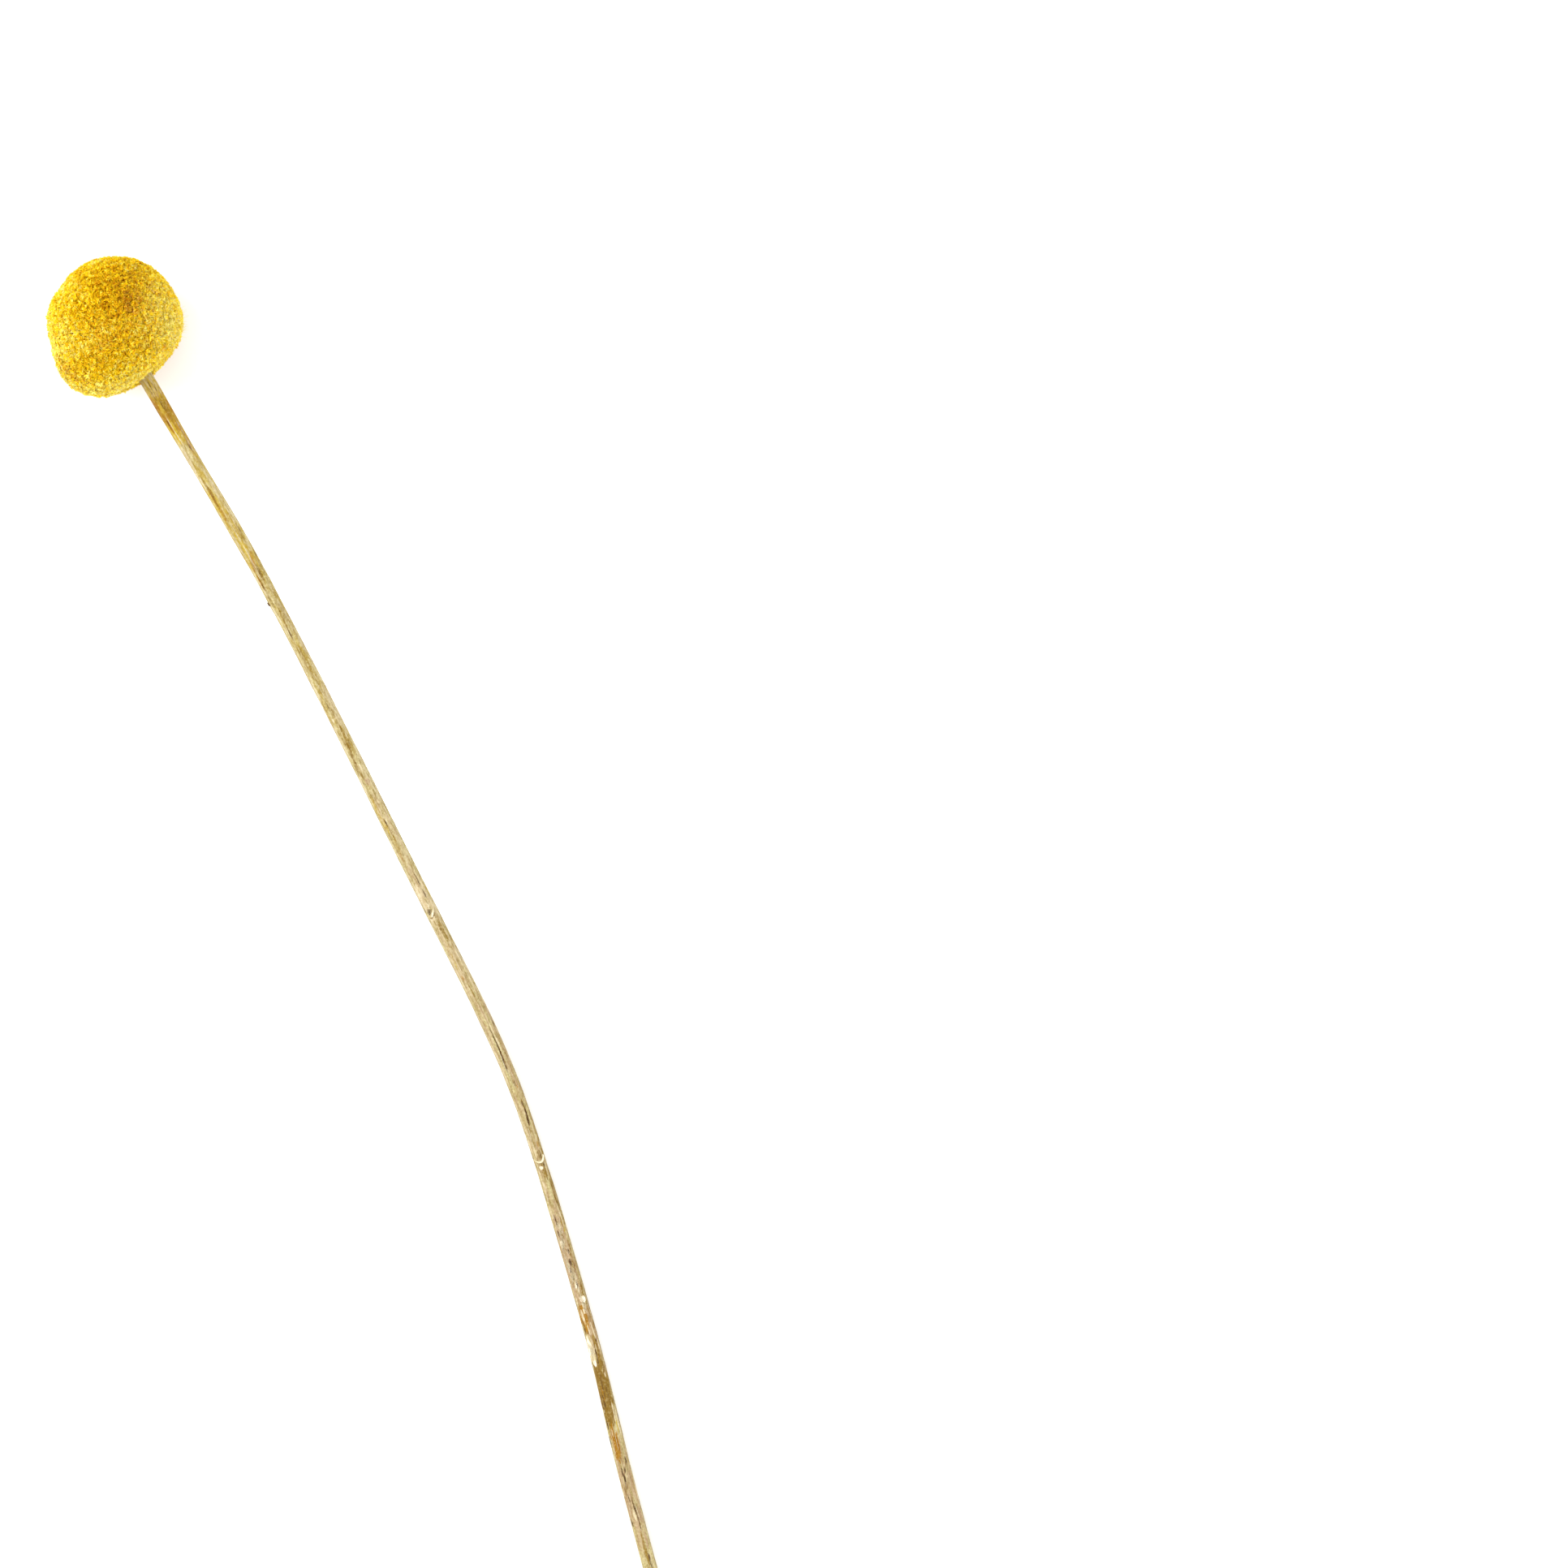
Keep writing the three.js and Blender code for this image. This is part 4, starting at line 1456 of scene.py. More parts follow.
# The streaks of the skin, by tint: along, turn, length, width, strength and, for some, drift, as in Streak.
STREAKS: dict[StreakKind, tuple[tuple[float, ...], ...]] = {
    StreakKind.GOLD: (
        # The wide gold wash at (14, 95) is partly the neck's khaki colour and partly painted light that warms
        # the neck in the head's shadow.
        (14, 95, 6, 5, 0.6), (20.5, 95, 15, 8, 1.1), (22, 110, 8, 2, 0.7), (29, 130, 6, 1.4, 0.6),
        (33, 95, 14, 8, 0.3), (41, 80, 8, 3, 0.5), (45, 95, 30, 8, 0.4), (46, 62, 18, 0.8, 0.6),
        (53.5, 80, 7, 3, 0.55), (57, 55, 8, 1.2, 0.5), (75, 90, 60, 8, 0.3), (113, 58, 9, 1, 0.6),
        (146, 75, 12, 0.8, 0.4), (205, 122, 4, 0.8, 0.6), (225, 66, 5, 1.6, 0.8), (231, 118, 8, 1.2, 0.4),
        (248, 60, 4, 1, 0.7),
    ),
    StreakKind.BLUSH: (
        (105.8, 98, 1.8, 1.3, 0.8), (113, 95, 10, 2, 0.35), (119, 130, 6, 0.8, 0.4),
        (131, 60, 13, 2.6, 0.45), (160, 152, 9, 0.7, 0.8), (168, 90, 95, 5, 0.4), (173.5, 128, 5, 0.8, 0.7),
        (178.5, 80, 6, 1.6, 0.5), (188, 100, 3, 1.2, 0.5), (202.5, 95, 8, 1.6, 0.5),
        (207, 72, 1.8, 1.5, 0.9), (211.5, 100, 7, 1.4, 0.6), (212, 74, 22, 2.8, 0.8),
        (218, 115, 2, 1.6, 0.7), (227, 125, 8, 1.4, 0.5), (228, 112, 14, 2, 0.8), (236.5, 140, 4, 1, 0.6),
        (262, 90, 26, 4.4, 0.55), (350, 200, 90, 5, 0.4),
    ),
    StreakKind.OLIVE: (
        (16.5, 72, 4, 0.6, 0.5), (19, 112, 6.5, 1.5, 0.45), (20.5, 118, 5, 0.9, 0.3), (25, 115, 9, 1, 0.35),
        (28, 125, 2.5, 0.8, 0.6), (39, 66, 8, 0.5, 0.6), (48, 115, 14, 1, 0.3), (57.5, 98, 4.5, 0.7, 0.7),
        (68.5, 88, 5, 0.5, 0.5), (71.8, 80, 3.6, 0.4, 0.7), (80, 85, 14, 1.3, 0.35), (89, 92, 5, 1.3, 0.4),
        (95.5, 88, 8, 1.4, 0.5), (100.3, 77, 5, 0.6, 0.7, -6), (104, 74, 4, 0.5, 0.6),
        (110, 62, 12, 0.8, 0.3), (115, 80, 2, 0.35, 0.8), (117.5, 92, 4, 0.4, 0.5),
        (140, 112, 16, 0.5, 0.4), (146.7, 92, 0.9, 0.4, 0.5), (148.5, 84, 4, 0.4, 0.5),
        (166.5, 138, 10, 0.7, 0.6), (169.5, 90, 6, 0.55, 0.7, -8), (174, 96, 1.6, 0.6, 0.5),
        (178.9, 107, 1.8, 0.5, 0.8), (181.8, 107, 4, 0.5, 1, -10), (186.2, 92, 6, 1.2, 0.4),
        (189.9, 108, 2.4, 0.8, 0.6), (193.5, 105, 4, 1.2, 0.6), (200, 170, 50, 1.2, 0.4),
        (200, 134, 9, 0.5, 0.8), (204.5, 122, 3, 0.4, 0.6), (209.5, 130, 3.4, 0.6, 0.8),
        (213.5, 112, 6, 0.7, 0.6), (219.5, 135, 6, 0.9, 0.6), (226, 150, 34, 1.4, 0.5),
        (227, 90, 20, 3, 0.35), (232, 108, 8, 1, 0.7), (241, 76, 15, 3.4, 1.8), (274, 92, 8, 0.8, 0.6),
        (300, 60, 22, 1.1, 0.45), (415, 200, 26, 1.8, 0.5),
    ),
    StreakKind.AMBER: (
        (19, 30, 7, 1.8, 0.95), (19.5, 90, 9, 5, 0.3), (20.5, 150, 6, 0.9, 0.6), (22, 118, 8, 2, 0.5),
        (22.5, 62, 5, 0.7, 0.8), (26.5, 138, 8, 1, 0.75), (42, 68, 9, 0.9, 0.5), (45.5, 105, 8, 0.9, 0.35),
        (55.3, 82, 5, 1.2, 0.5, -60), (59.5, 58, 4, 0.45, 0.7), (121, 68, 6, 1, 0.5),
        (150.5, 70, 1.4, 0.6, 0.5), (174.6, 118, 3, 0.5, 0.5), (187.9, 125, 1.6, 0.5, 0.6),
        (225.1, 63, 5.8, 1.7, 1.6), (241, 70, 4, 0.8, 0.5), (251.5, 72, 8, 1.7, 1.4),
        (428, 60, 20, 2.4, 0.5),
    ),
    StreakKind.DARK: (
        (14, 114, 3.5, 0.28, 0.5), (14.2, 88, 4, 0.28, 0.5), (14.6, 70, 4, 0.28, 0.5),
        (18.5, 93, 3, 0.28, 0.48), (19, 4, 2.6, 0.5, 0.84), (22.5, 58, 2.5, 0.42, 0.72),
        (44, 68, 44, 0.31, 0.3, -4), (57.2, 95, 2.4, 0.42, 0.48), (62, 60, 8, 0.28, 0.6),
        (71.5, 80, 3, 0.35, 0.72), (100.8, 78, 2.4, 0.42, 0.36), (115, 82, 1.4, 0.35, 0.6),
        (129.5, 107, 6, 0.31, 0.72), (131.6, 108, 1.5, 0.49, 0.84), (134.6, 25, 1, 0.5, 0.48),
        (135.3, 68, 1.2, 1.1, 1), (161, 150, 5, 0.42, 0.42), (166, 92, 9, 0.28, 0.72),
        (170, 88, 5, 0.39, 0.84, -6), (179, 105, 1.2, 0.5, 0.6), (182, 107, 4, 0.42, 0.72, -10),
        (190.2, 122, 1.8, 0.35, 0.5, -14), (192.3, 122, 1, 0.42, 0.6), (201.5, 138, 4, 0.28, 0.6),
        (203.4, 66, 2, 0.4, 0.5), (206.9, 60, 1.6, 0.5, 0.6), (208.4, 78, 1.4, 0.35, 0.6),
        (210.7, 104, 1.2, 0.35, 0.6), (213, 92, 1.8, 0.6, 0.85), (214.6, 74, 1.6, 0.4, 0.7),
        (216.6, 80, 0.8, 0.42, 0.48), (218.3, 93, 2.2, 0.5, 1), (225.5, 82, 5, 0.28, 0.6),
        (226.2, 45, 4, 0.31, 0.6), (227.9, 72, 0.9, 0.7, 0.72), (232.5, 93, 5, 0.35, 0.66),
        (239.5, 78, 8, 0.42, 0.36), (241, 108, 5, 0.42, 0.36), (241.5, 56, 5, 0.42, 0.48),
        (247.8, 62, 1.2, 0.5, 0.42), (255, 128, 1.6, 0.35, 0.72), (257.3, 100, 1.4, 0.42, 0.84),
        (257.5, 72, 2.5, 0.28, 0.6), (258.8, 80, 1.4, 0.45, 1), (263.5, 70, 4, 0.28, 0.6),
        (264, 92, 5, 0.2, 0.54), (268, 35, 2, 0.42, 0.72),
    ),
    StreakKind.BLEACH: (
        # The pale streak at (14.2, 95) is painted light that lifts the neck out of the head's shadow; (24.5,
        # 74), (47, 84) and (69.5, 68) are a painted highlight along a rib.
        (14.2, 95, 5.5, 5, 0.35), (24.5, 74, 9, 0.22, 0.6, 6), (32, 40, 16, 1.1, 0.5),
        # (32, 40), (52, 34), (78, 38), (95, 30) and (118, 36) paint a lit edge along the -Y side; (38, 140),
        # (90, 138) and (140, 148) paint light on the +Y side, which the key light leaves in shade.
        (38, 140, 36, 1.6, 0.4), (47, 84, 38, 0.2, 0.5, -6), (52, 34, 12, 0.7, 0.3),
        (69.5, 68, 7, 0.24, 0.6, -4), (78, 38, 26, 0.7, 0.4), (90, 138, 66, 1.8, 0.4),
        (91.3, 95, 0.5, 2.2, 0.5), (91.6, 68, 1, 0.6, 0.7), (95, 30, 12, 0.6, 0.4),
        (102.6, 103, 1.8, 0.4, 0.9), (110.2, 104, 1.2, 0.45, 0.9), (114.8, 93, 1.4, 0.3, 0.6),
        (118, 36, 180, 1.0, 0.42), (125.2, 44, 1, 0.5, 0.9), (130, 90, 60, 3, 0.3),
        (130.5, 68, 3, 1.1, 0.8), (133, 50, 6, 1.4, 0.5), (134.0, 68, 1.3, 1.2, 1.3),
        (136.7, 70, 1.3, 1.3, 1.2), (139.5, 82, 9, 0.2, 0.7), (140, 148, 50, 1.6, 0.42),
        (146, 86, 9, 0.2, 0.7), (150, 25, 40, 0.7, 0.35), (162.5, 108, 13, 0.28, 0.9),
        (169, 45, 12, 1, 0.3), (180, 142, 9, 0.35, 0.6), (184, 30, 14, 1, 0.6), (189.2, 72, 3, 0.4, 1.1),
        (191.4, 96, 0.7, 1.6, 0.8), (196, 48, 6, 1, 0.5), (201, 50, 7, 0.9, 0.4),
        (205.5, 88, 1.6, 0.5, 0.8), (208.6, 88, 1.4, 0.6, 0.5), (209, 66, 1.2, 0.8, 0.9),
        (213.4, 66, 1.6, 0.5, 0.7), (215.8, 66, 1.5, 0.5, 0.5), (216.2, 96, 1.3, 0.5, 0.8),
        # (225.1, 64) and (249, 66) are painted highlights on the amber lenses.
        (217.9, 79, 1.8, 0.4, 1.2), (219.2, 92, 1.8, 0.45, 0.7), (225.1, 64, 3, 0.6, 0.3),
        (229.2, 55, 1.6, 1.6, 0.8), (230.6, 64, 3, 0.5, 0.7), (231.6, 46, 5.4, 1.7, 1),
        (233.4, 62, 1.6, 0.9, 0.8), (245, 122, 4.4, 0.5, 1, -6), (247, 145, 6, 0.8, 0.5),
        (249, 66, 2, 0.5, 0.4), (252, 128, 6, 0.5, 0.4), (256, 106, 1.2, 0.6, 0.8),
        (258.3, 96, 1.4, 0.5, 0.9), (259.8, 66, 1.6, 0.4, 0.6), (266.5, 84, 2.6, 0.7, 0.8),
    ),
    StreakKind.CHALK: (
        (192.8, 84, 0.8, 0.8, 1), (208.8, 66, 1.1, 0.7, 0.7), (217.9, 79, 1.6, 0.4, 0.9),
        (221, 110, 1.1, 1.1, 4), (231, 46, 4.4, 1.2, 0.7), (234.4, 58, 1.4, 0.8, 0.8),
    ),
}


@dataclass(frozen=True)
class Sway:
    """A smooth unevenness over the skin that closes round the stem.

    Attributes:
        seed: the seed of its waves.
        finest: the length of its shortest wave along the stem.
        lobes: the most waves round the stem.
        waves: how many waves it is made of.
    """

    seed: int
    finest: float
    lobes: int
    waves: int = 9

    def at(self, along: Array, turn: Array) -> Array:
        """Gives the unevenness.

        Args:
            along: distances along the stem.
            turn: sides of the stem, in radians.

        Returns:
            A number for each spot, mostly from -1 to 1.
        """
        draw = Draw(self.seed)
        total = np.zeros_like(along)
        for _ in range(self.waves):
            round_stem = draw.randint(0, self.lobes)
            along_stem = math.tau / (self.finest * draw.uniform(1.0, 4.0)) * draw.choice((-1, 1))
            total += np.sin(round_stem * turn + along_stem * along + draw.uniform(0.0, math.tau))
        return total / math.sqrt(2.0 * self.waves)


@dataclass(frozen=True)
class Flake:
    """A torn, papery flake of a leaf. It points to the head, and only its tip stands off the stem.

    Attributes:
        along: where its root lies along the stem, in millimetres.
        turn: the side of the stem, in degrees.
        length: its length, in millimetres.
        width: its width at the root, in millimetres.
        rise: how far its tip stands off the skin, in millimetres.
    """

    along: float
    turn: float
    length: float
    width: float
    rise: float


# The places that a strand over the skin passes: along in millimetres, turn in degrees, lift in millimetres.
Course = Sequence[Triple]


@dataclass(frozen=True)
class Stem:
    """The dry stem: its ribbed skin, its cut end, what is left of its leaves, and loose fibres.

    Attributes:
        route: its middle line and girth.
        inset: its top end lies this far from the middle of the head.
        rib_waves: what its uneven ribs are made of: waves round the stem, lag and weight of each.
        rib_depth: how deep the valleys between them are.
        rib_twist: radians that they turn round the stem from end to end.
        rib_wander: how they wander sideways.
        rib_change: how their depth changes.
        ripples: how many fine ripples run round the stem.
        ripple_height: how high these are.
        ripple_wander: how they wander sideways.
        wobble: how the girth wobbles.
        wobble_height: how far it does.
        raggedness: how ragged the cut end is.
        ragged_height: how far it is.
        fraying: what frays the streaks' edges.
        sides: how many sides the skin is modelled with.
        rings: how many rings the skin is modelled with.
        fine_until: up to here the rings lie closer together.
        fine_share: the share of the rings that lie there.
        rind: thickness of the skin at the cut end, as a share of the radius.
        rind_edge: the share of the radius over which its outer edge is rounded.
        edge_rounding: how far it is rounded.
        recess: how far the pith has shrunk into the cut end.
        pith_depth: how far the hollow reaches on behind the pith's face.
        pith_dish: how far the pith's face is dished.
        pith_lumps: how uneven it is.
        pits: its small hollows and rises.
        flakes: what is left of its leaves.
        splinters: splinters of the lowest leaf scar.
        bud: the small dark bud.
        dark_splinters: dark splinters of the lowest leaf scar, each with its width in millimetres.
        rims: curled rims of two leaf scars.
        loose: how many loose fibres it has.
        woolly: how many fibres its wool has.
        wool_spots: where the wool is: along in millimetres and turn in degrees.
        stray_streaks: how many fine streaks are drawn at random, besides the named ones.
        stray_weights: how often a stray one is of each kind, in the order of StreakKind.
        stray_strengths: how strong they are before and from weathered_from on.
        weathered_from: where the weathered part of the stem starts, in millimetres.
        seed: the seed of its flakes and fibres.
        stray_seed: the seed of its stray streaks.
    """

    route: StemRoute
    inset: float = 9.0 * MM
    rib_waves: tuple[tuple[int, float, float], ...] = ((9, 0.0, 0.5), (14, 1.3, 0.32), (23, 0.6, 0.28))
    rib_depth: float = 0.16 * MM
    rib_twist: float = 0.6
    rib_wander: Sway = Sway(11, 60.0 * MM, 3)
    rib_change: Sway = Sway(12, 40.0 * MM, 4)
    ripples: float = 31.0
    ripple_height: float = 0.010 * MM
    ripple_wander: Sway = Sway(13, 14.0 * MM, 5)
    wobble: Sway = Sway(14, 7.0 * MM, 3)
    wobble_height: float = 0.018 * MM
    raggedness: Sway = Sway(15, 5.0 * MM, 6)
    ragged_height: float = 0.12 * MM
    fraying: Sway = Sway(16, 2.2 * MM, 16)
    sides: int = 96
    rings: int = 1000
    fine_until: float = 282.0 * MM
    fine_share: float = 0.84
    rind: float = 0.22
    rind_edge: float = 0.06
    edge_rounding: float = 0.08 * MM
    recess: float = 0.3 * MM
    pith_depth: float = 0.7 * MM
    pith_dish: float = 0.3 * MM
    pith_lumps: float = 0.05 * MM
    pits: tuple[Pit, ...] = (
        Pit(64.6, 8.0, 3.5, 1.2, -0.1), Pit(115.0, 80.0, 1.8, 0.4, 0.1),
        Pit(125.2, 44.0, 1.1, 0.7, 0.1), Pit(131.5, 62.0, 6.0, 1.4, -0.08),
        Pit(135.3, 68.0, 1.2, 1.0, 0.6), Pit(189.9, 108.0, 3.4, 1.0, 0.14),
        Pit(207.0, 72.0, 1.6, 1.3, -0.07), Pit(225.7, 68.0, 5.4, 1.0, 0.12),
        Pit(251.5, 72.0, 8.0, 1.5, 0.1), Pit(258.7, 82.0, 1.8, 0.6, 0.2),
        Pit(322.0, 172.0, 5.0, 1.6, -0.12), Pit(388.0, 36.0, 5.0, 1.6, -0.12),
    )
    flakes: tuple[Flake, ...] = (
        Flake(136.6, 92.0, 1.6, 0.7, 0.3), Flake(136.9, 66.0, 1.2, 1.1, 0.1),
        Flake(324.0, 172.0, 4.0, 2.0, 0.8), Flake(390.0, 36.0, 4.0, 2.1, 0.5),
    )
    splinters: tuple[Course, ...] = (
        ((255.2, 118.0, -0.1), (256.6, 110.0, 0.1), (258.6, 92.0, 0.12)),
        ((261.2, 74.0, -0.1), (259.6, 90.0, 0.12), (257.8, 94.0, 0.16)),
        ((262.0, 60.0, -0.1), (260.0, 66.0, 0.12), (258.2, 70.0, 0.1)),
        ((254.0, 82.0, -0.1), (255.4, 86.0, 0.08), (257.0, 84.0, 0.1)),
    )
    bud: Course = ((64.9, 14.0, -0.12), (64.5, 9.0, 0.04), (63.95, 4.0, 0.1))
    dark_splinters: tuple[tuple[Course, float], ...] = (
        (((259.6, 80.0, -0.1), (258.8, 79.0, 0.03), (257.8, 73.0, 0.06)), 0.26),
        (((258.0, 100.0, -0.1), (257.3, 101.0, 0.08), (256.7, 100.0, 0.1)), 0.22),
    )
    rims: tuple[Course, ...] = (
        ((134.9, 120.0, 0.0), (135.4, 104.0, 0.24), (136.0, 88.0, 0.28), (136.5, 72.0, 0.0)),
        (
            (190.7, 28.0, -0.05), (191.2, 58.0, 0.1), (191.6, 88.0, 0.16), (191.5, 112.0, 0.14),
            (190.8, 138.0, 0.05), (190.2, 150.0, -0.05),
        ),
    )
    loose: int = 110
    woolly: int = 130
    wool_spots: tuple[Pair, ...] = (
        (205.5, 88.0), (209.0, 70.0), (213.5, 68.0), (216.3, 90.0), (221.2, 106.0), (231.0, 52.0),
    )
    stray_streaks: int = 900
    stray_weights: tuple[int, ...] = (2, 2, 5, 1, 4, 6, 0)
    stray_strengths: Pair = (0.55, 1.35)
    weathered_from: float = 204.0
    seed: int = 204
    stray_seed: int = 437

    def crest(self, along: Array, turn: Array) -> Array:
        """Returns how near each spot is to the crest of a rib, from 0 in a valley to 1 on a crest."""
        wander, sharpness = 0.1, 0.7
        share = (along - self.inset) / (self.route.length() - self.inset)
        turned = turn - self.rib_twist * share + wander * self.rib_wander.at(along, turn)
        wave = sum(weight * np.cos(waves * turned + lag) for waves, lag, weight in self.rib_waves)
        return np.clip(0.5 + 0.5 * wave, 0.0, 1.0) ** sharpness

    def skin_radius(self, along: Array, turn: Array) -> Array:
        """Returns the distance of the skin from the stem's middle line at each spot."""
        usual, change, wander = 0.8, 0.4, 2.5
        girth = self.route.girth(along)
        depth = self.rib_depth * (usual + change * self.rib_change.at(along, turn))
        lag = wander * self.ripple_wander.at(along, turn)
        ripple = self.ripple_height * np.sin(self.ripples * turn + lag)
        wobble = self.wobble_height * self.wobble.at(along, turn)
        radius = girth - depth * (1.0 - self.crest(along, turn)) + ripple + wobble
        for pit in self.pits:
            radius -= pit.hollow(along, turn, girth)
        return radius

    def on_skin(self, along: float, turn: float, lift: float = 0.0) -> Vector:
        """Gives a place on the skin, before the stem is bent to its line.

        Args:
            along: distance along the stem, in millimetres.
            turn: the side of the stem, in degrees.
            lift: height over the skin, in millimetres.

        Returns:
            The place.
        """
        angle = math.radians(turn)
        radius = float(self.skin_radius(np.array([along * MM]), np.array([angle]))[0]) + lift * MM
        return Vector((along * MM, -radius * math.cos(angle), radius * math.sin(angle)))

    def all_streaks(self) -> list[Streak]:
        """Returns the named streaks and, on all sides, many fine ones drawn at random."""
        draw = Draw(self.stray_seed)
        kinds, first, last = tuple(StreakKind), 16.0, self.route.length() / MM
        roots, widths, drifts, strengths = (0.9, 2.4), (0.16, 0.45), (-8.0, 8.0), (0.3, 0.85)
        strays = []
        for _ in range(self.stray_streaks):
            kind = draw.choices(kinds, self.stray_weights)[0]
            at, side = draw.uniform(first, last), draw.uniform(0.0, 360.0)
            long, wide, drift = draw.uniform(*roots) ** 2, draw.uniform(*widths), draw.uniform(*drifts)
            strength = draw.uniform(*strengths) * self.stray_strengths[at >= self.weathered_from]
            strays.append(Streak(kind, at, side, long, wide, strength, drift))
        return [Streak(kind, *mark) for kind, marks in STREAKS.items() for mark in marks] + strays

    def wrapped(self, mesh: Mesh, along: Array, turn: Array, radius: Array) -> Mesh:
        """Gives a mesh its places round the stem and bends it to the stem's line.

        Args:
            mesh: the mesh.
            along: each vertex's distance along the stem.
            turn: its side, in radians.
            radius: its distance from the stem's middle line.

        Returns:
            The mesh.
        """
        put(mesh, np.stack([along, -radius * np.cos(turn), radius * np.sin(turn)], axis=1))
        return self.route.laid(mesh)

    def skin(self) -> Mesh:
        """Models the ribbed skin, closed at both ends, with the recess of the pith at the cut end."""
        length, wall, edge_from = self.route.length(), 0.03, 0.93
        coarse = (length - self.fine_until) / (1.0 - self.fine_share)
        hollow = (self.recess + self.pith_depth) / coarse
        shape = bmesh.new()
        bmesh.ops.create_cone(
            shape, cap_ends=True, segments=self.sides, radius1=1.0, radius2=1.0, depth=1.0,
            matrix=Matrix.Translation((0.5, 0.0, 0.0)) @ Matrix.Rotation(math.pi / 2, 4, "Y"),
        )
        lengthwise = [edge for edge in shape.edges if abs(edge.verts[0].co.x - edge.verts[1].co.x) > 0.5]
        caps = [face for face in shape.faces if len(face.verts) == self.sides]
        cut_end = max(caps, key=lambda face: face.verts[0].co.x)
        for thickness, depth in ((self.rind_edge, 0.0), (self.rind - self.rind_edge, 0.0), (wall, -hollow)):
            bmesh.ops.inset_individual(shape, faces=[cut_end], thickness=thickness, depth=depth)
        bmesh.ops.subdivide_edges(shape, edges=lengthwise, cuts=self.rings - 1, use_grid_fill=True)
        mesh = finished(shape, "skin")
        spots = places(mesh)
        at_cut = spots[:, 0] > 1.0 - 1e-6
        share = np.hypot(spots[:, 1], spots[:, 2])
        turn = np.arctan2(spots[:, 2], -spots[:, 1])
        along = np.interp(spots[:, 0], (0.0, self.fine_share, 1.0), (self.inset, self.fine_until, length))
        radius = share * self.skin_radius(along, turn)
        rounded = self.edge_rounding * smooth_share(share, edge_from, 1.0) * at_cut
        ragged_cut = self.ragged_height * self.raggedness.at(along, turn) * at_cut
        along = along - rounded - np.abs(ragged_cut)
        mark(mesh, "rib", self.crest(along, turn))
        self.mark_streaks(mesh, along, turn)
        return self.wrapped(mesh, along, turn, radius)

    def mark_streaks(self, mesh: Mesh, along: Array, turn: Array) -> None:
        """Stores how strongly each kind of streak tints each vertex.

        Args:
            mesh: the mesh.
            along: each vertex's distance along the stem.
            turn: its side, in radians.
        """
        ragged = self.fraying.at(along, turn)
        girth = self.route.girth(along)
        tints = {kind: np.zeros(len(along)) for kind in StreakKind}
        order = np.argsort(along)
        for streak in self.all_streaks():
            ends = np.array((streak.along - 0.75 * streak.length, streak.along + 0.75 * streak.length)) * MM
            near = order[slice(*np.searchsorted(along, ends, sorter=order))]
            share = streak.share(along[near], turn[near], girth[near], ragged[near])
            tints[streak.kind][near] = np.maximum(tints[streak.kind][near], share)
        for kind, tint in tints.items():
            mark(mesh, kind.value, tint)

    def pith(self) -> Mesh:
        """Models the pith: a shrunken, uneven disc inside the cut end."""
        shape = bmesh.new()
        bmesh.ops.create_cone(
            shape, cap_ends=True, cap_tris=True, segments=40, radius1=1.0, radius2=1.0, depth=0.1,
            matrix=Matrix.Rotation(math.pi / 2, 4, "Y"),
        )
        caps = [face for face in shape.faces if len(face.verts) == 3]
        spokes = list({edge for face in caps for edge in face.edges})
        bmesh.ops.subdivide_edges(shape, edges=spokes, cuts=5, use_grid_fill=True)
        mesh = finished(shape, "pith")
        spots = places(mesh)
        share = np.hypot(spots[:, 1], spots[:, 2])
        turn = np.arctan2(spots[:, 2], -spots[:, 1])
        mark(mesh, "reach", share)
        end, thickness, overlap, tuck = self.route.length() - self.recess, 0.8 * MM, 0.05, 0.1 * MM
        uneven = self.pith_lumps * np.sin(9.0 * spots[:, 1] + 2.0) * np.cos(11.0 * spots[:, 2])
        hollow = self.pith_dish * (1.0 - share**2) + uneven
        along = end - tuck - hollow + np.where(spots[:, 0] > 0.0, 0.0, -thickness)
        radius = share * (1.0 - self.rind + overlap) * self.skin_radius(np.full(len(share), end), turn)
        return self.wrapped(mesh, along, turn, radius)

    def add_flake(self, shape: Shape, flake: Flake, draw: Draw) -> None:
        """Adds a flake.

        Args:
            shape: the shape that grows, before the stem is bent to its line.
            flake: the flake.
            draw: the random draw.
        """
        rows, columns, thickness, sunk = 7, 6, 0.09 * MM, 0.06
        made = bmesh.ops.create_grid(shape, x_segments=rows, y_segments=columns, size=0.5)["verts"]
        reach = shape.verts.layers.float["reach"]
        girth = float(self.route.girth(np.array([flake.along * MM]))[0]) / MM
        tears = [draw.uniform(0.7, 1.0) for _ in range(columns + 1)]
        for vertex in made:
            share, beside = vertex.co.x + 0.5, 2.0 * vertex.co.y
            tear = tears[round((beside + 1.0) * columns / 2.0)]
            narrowing = 1.0 - 0.75 * share**1.5
            side = flake.turn + math.degrees(beside * narrowing * flake.width / 2.0 / girth)
            vault, rooting = 0.12 * (1.0 - beside**2), 0.25 * (1.0 - share) ** 4
            height = flake.rise * share**1.6 + vault - sunk - rooting
            vertex[reach] = share
            vertex.co = self.on_skin(flake.along - flake.length * share * tear, side, height)
        faces = list({face for vertex in made for face in vertex.link_faces})
        bmesh.ops.recalc_face_normals(shape, faces=faces)
        bmesh.ops.solidify(shape, geom=faces, thickness=thickness)

    def curl(self, shape: Shape, strand: Mesh, course: Course, width: float) -> None:
        """Adds a thin strand that runs over the skin.

        Args:
            shape: the shape that grows, before the stem is bent to its line.
            strand: the strand that is copied, of unit length and width.
            course: the places that it passes.
            width: its width, in millimetres.
        """
        bent = bent_along(strand, [self.on_skin(*place) for place in course], width * MM)
        shape.from_mesh(bent)
        bpy.data.meshes.remove(bent)

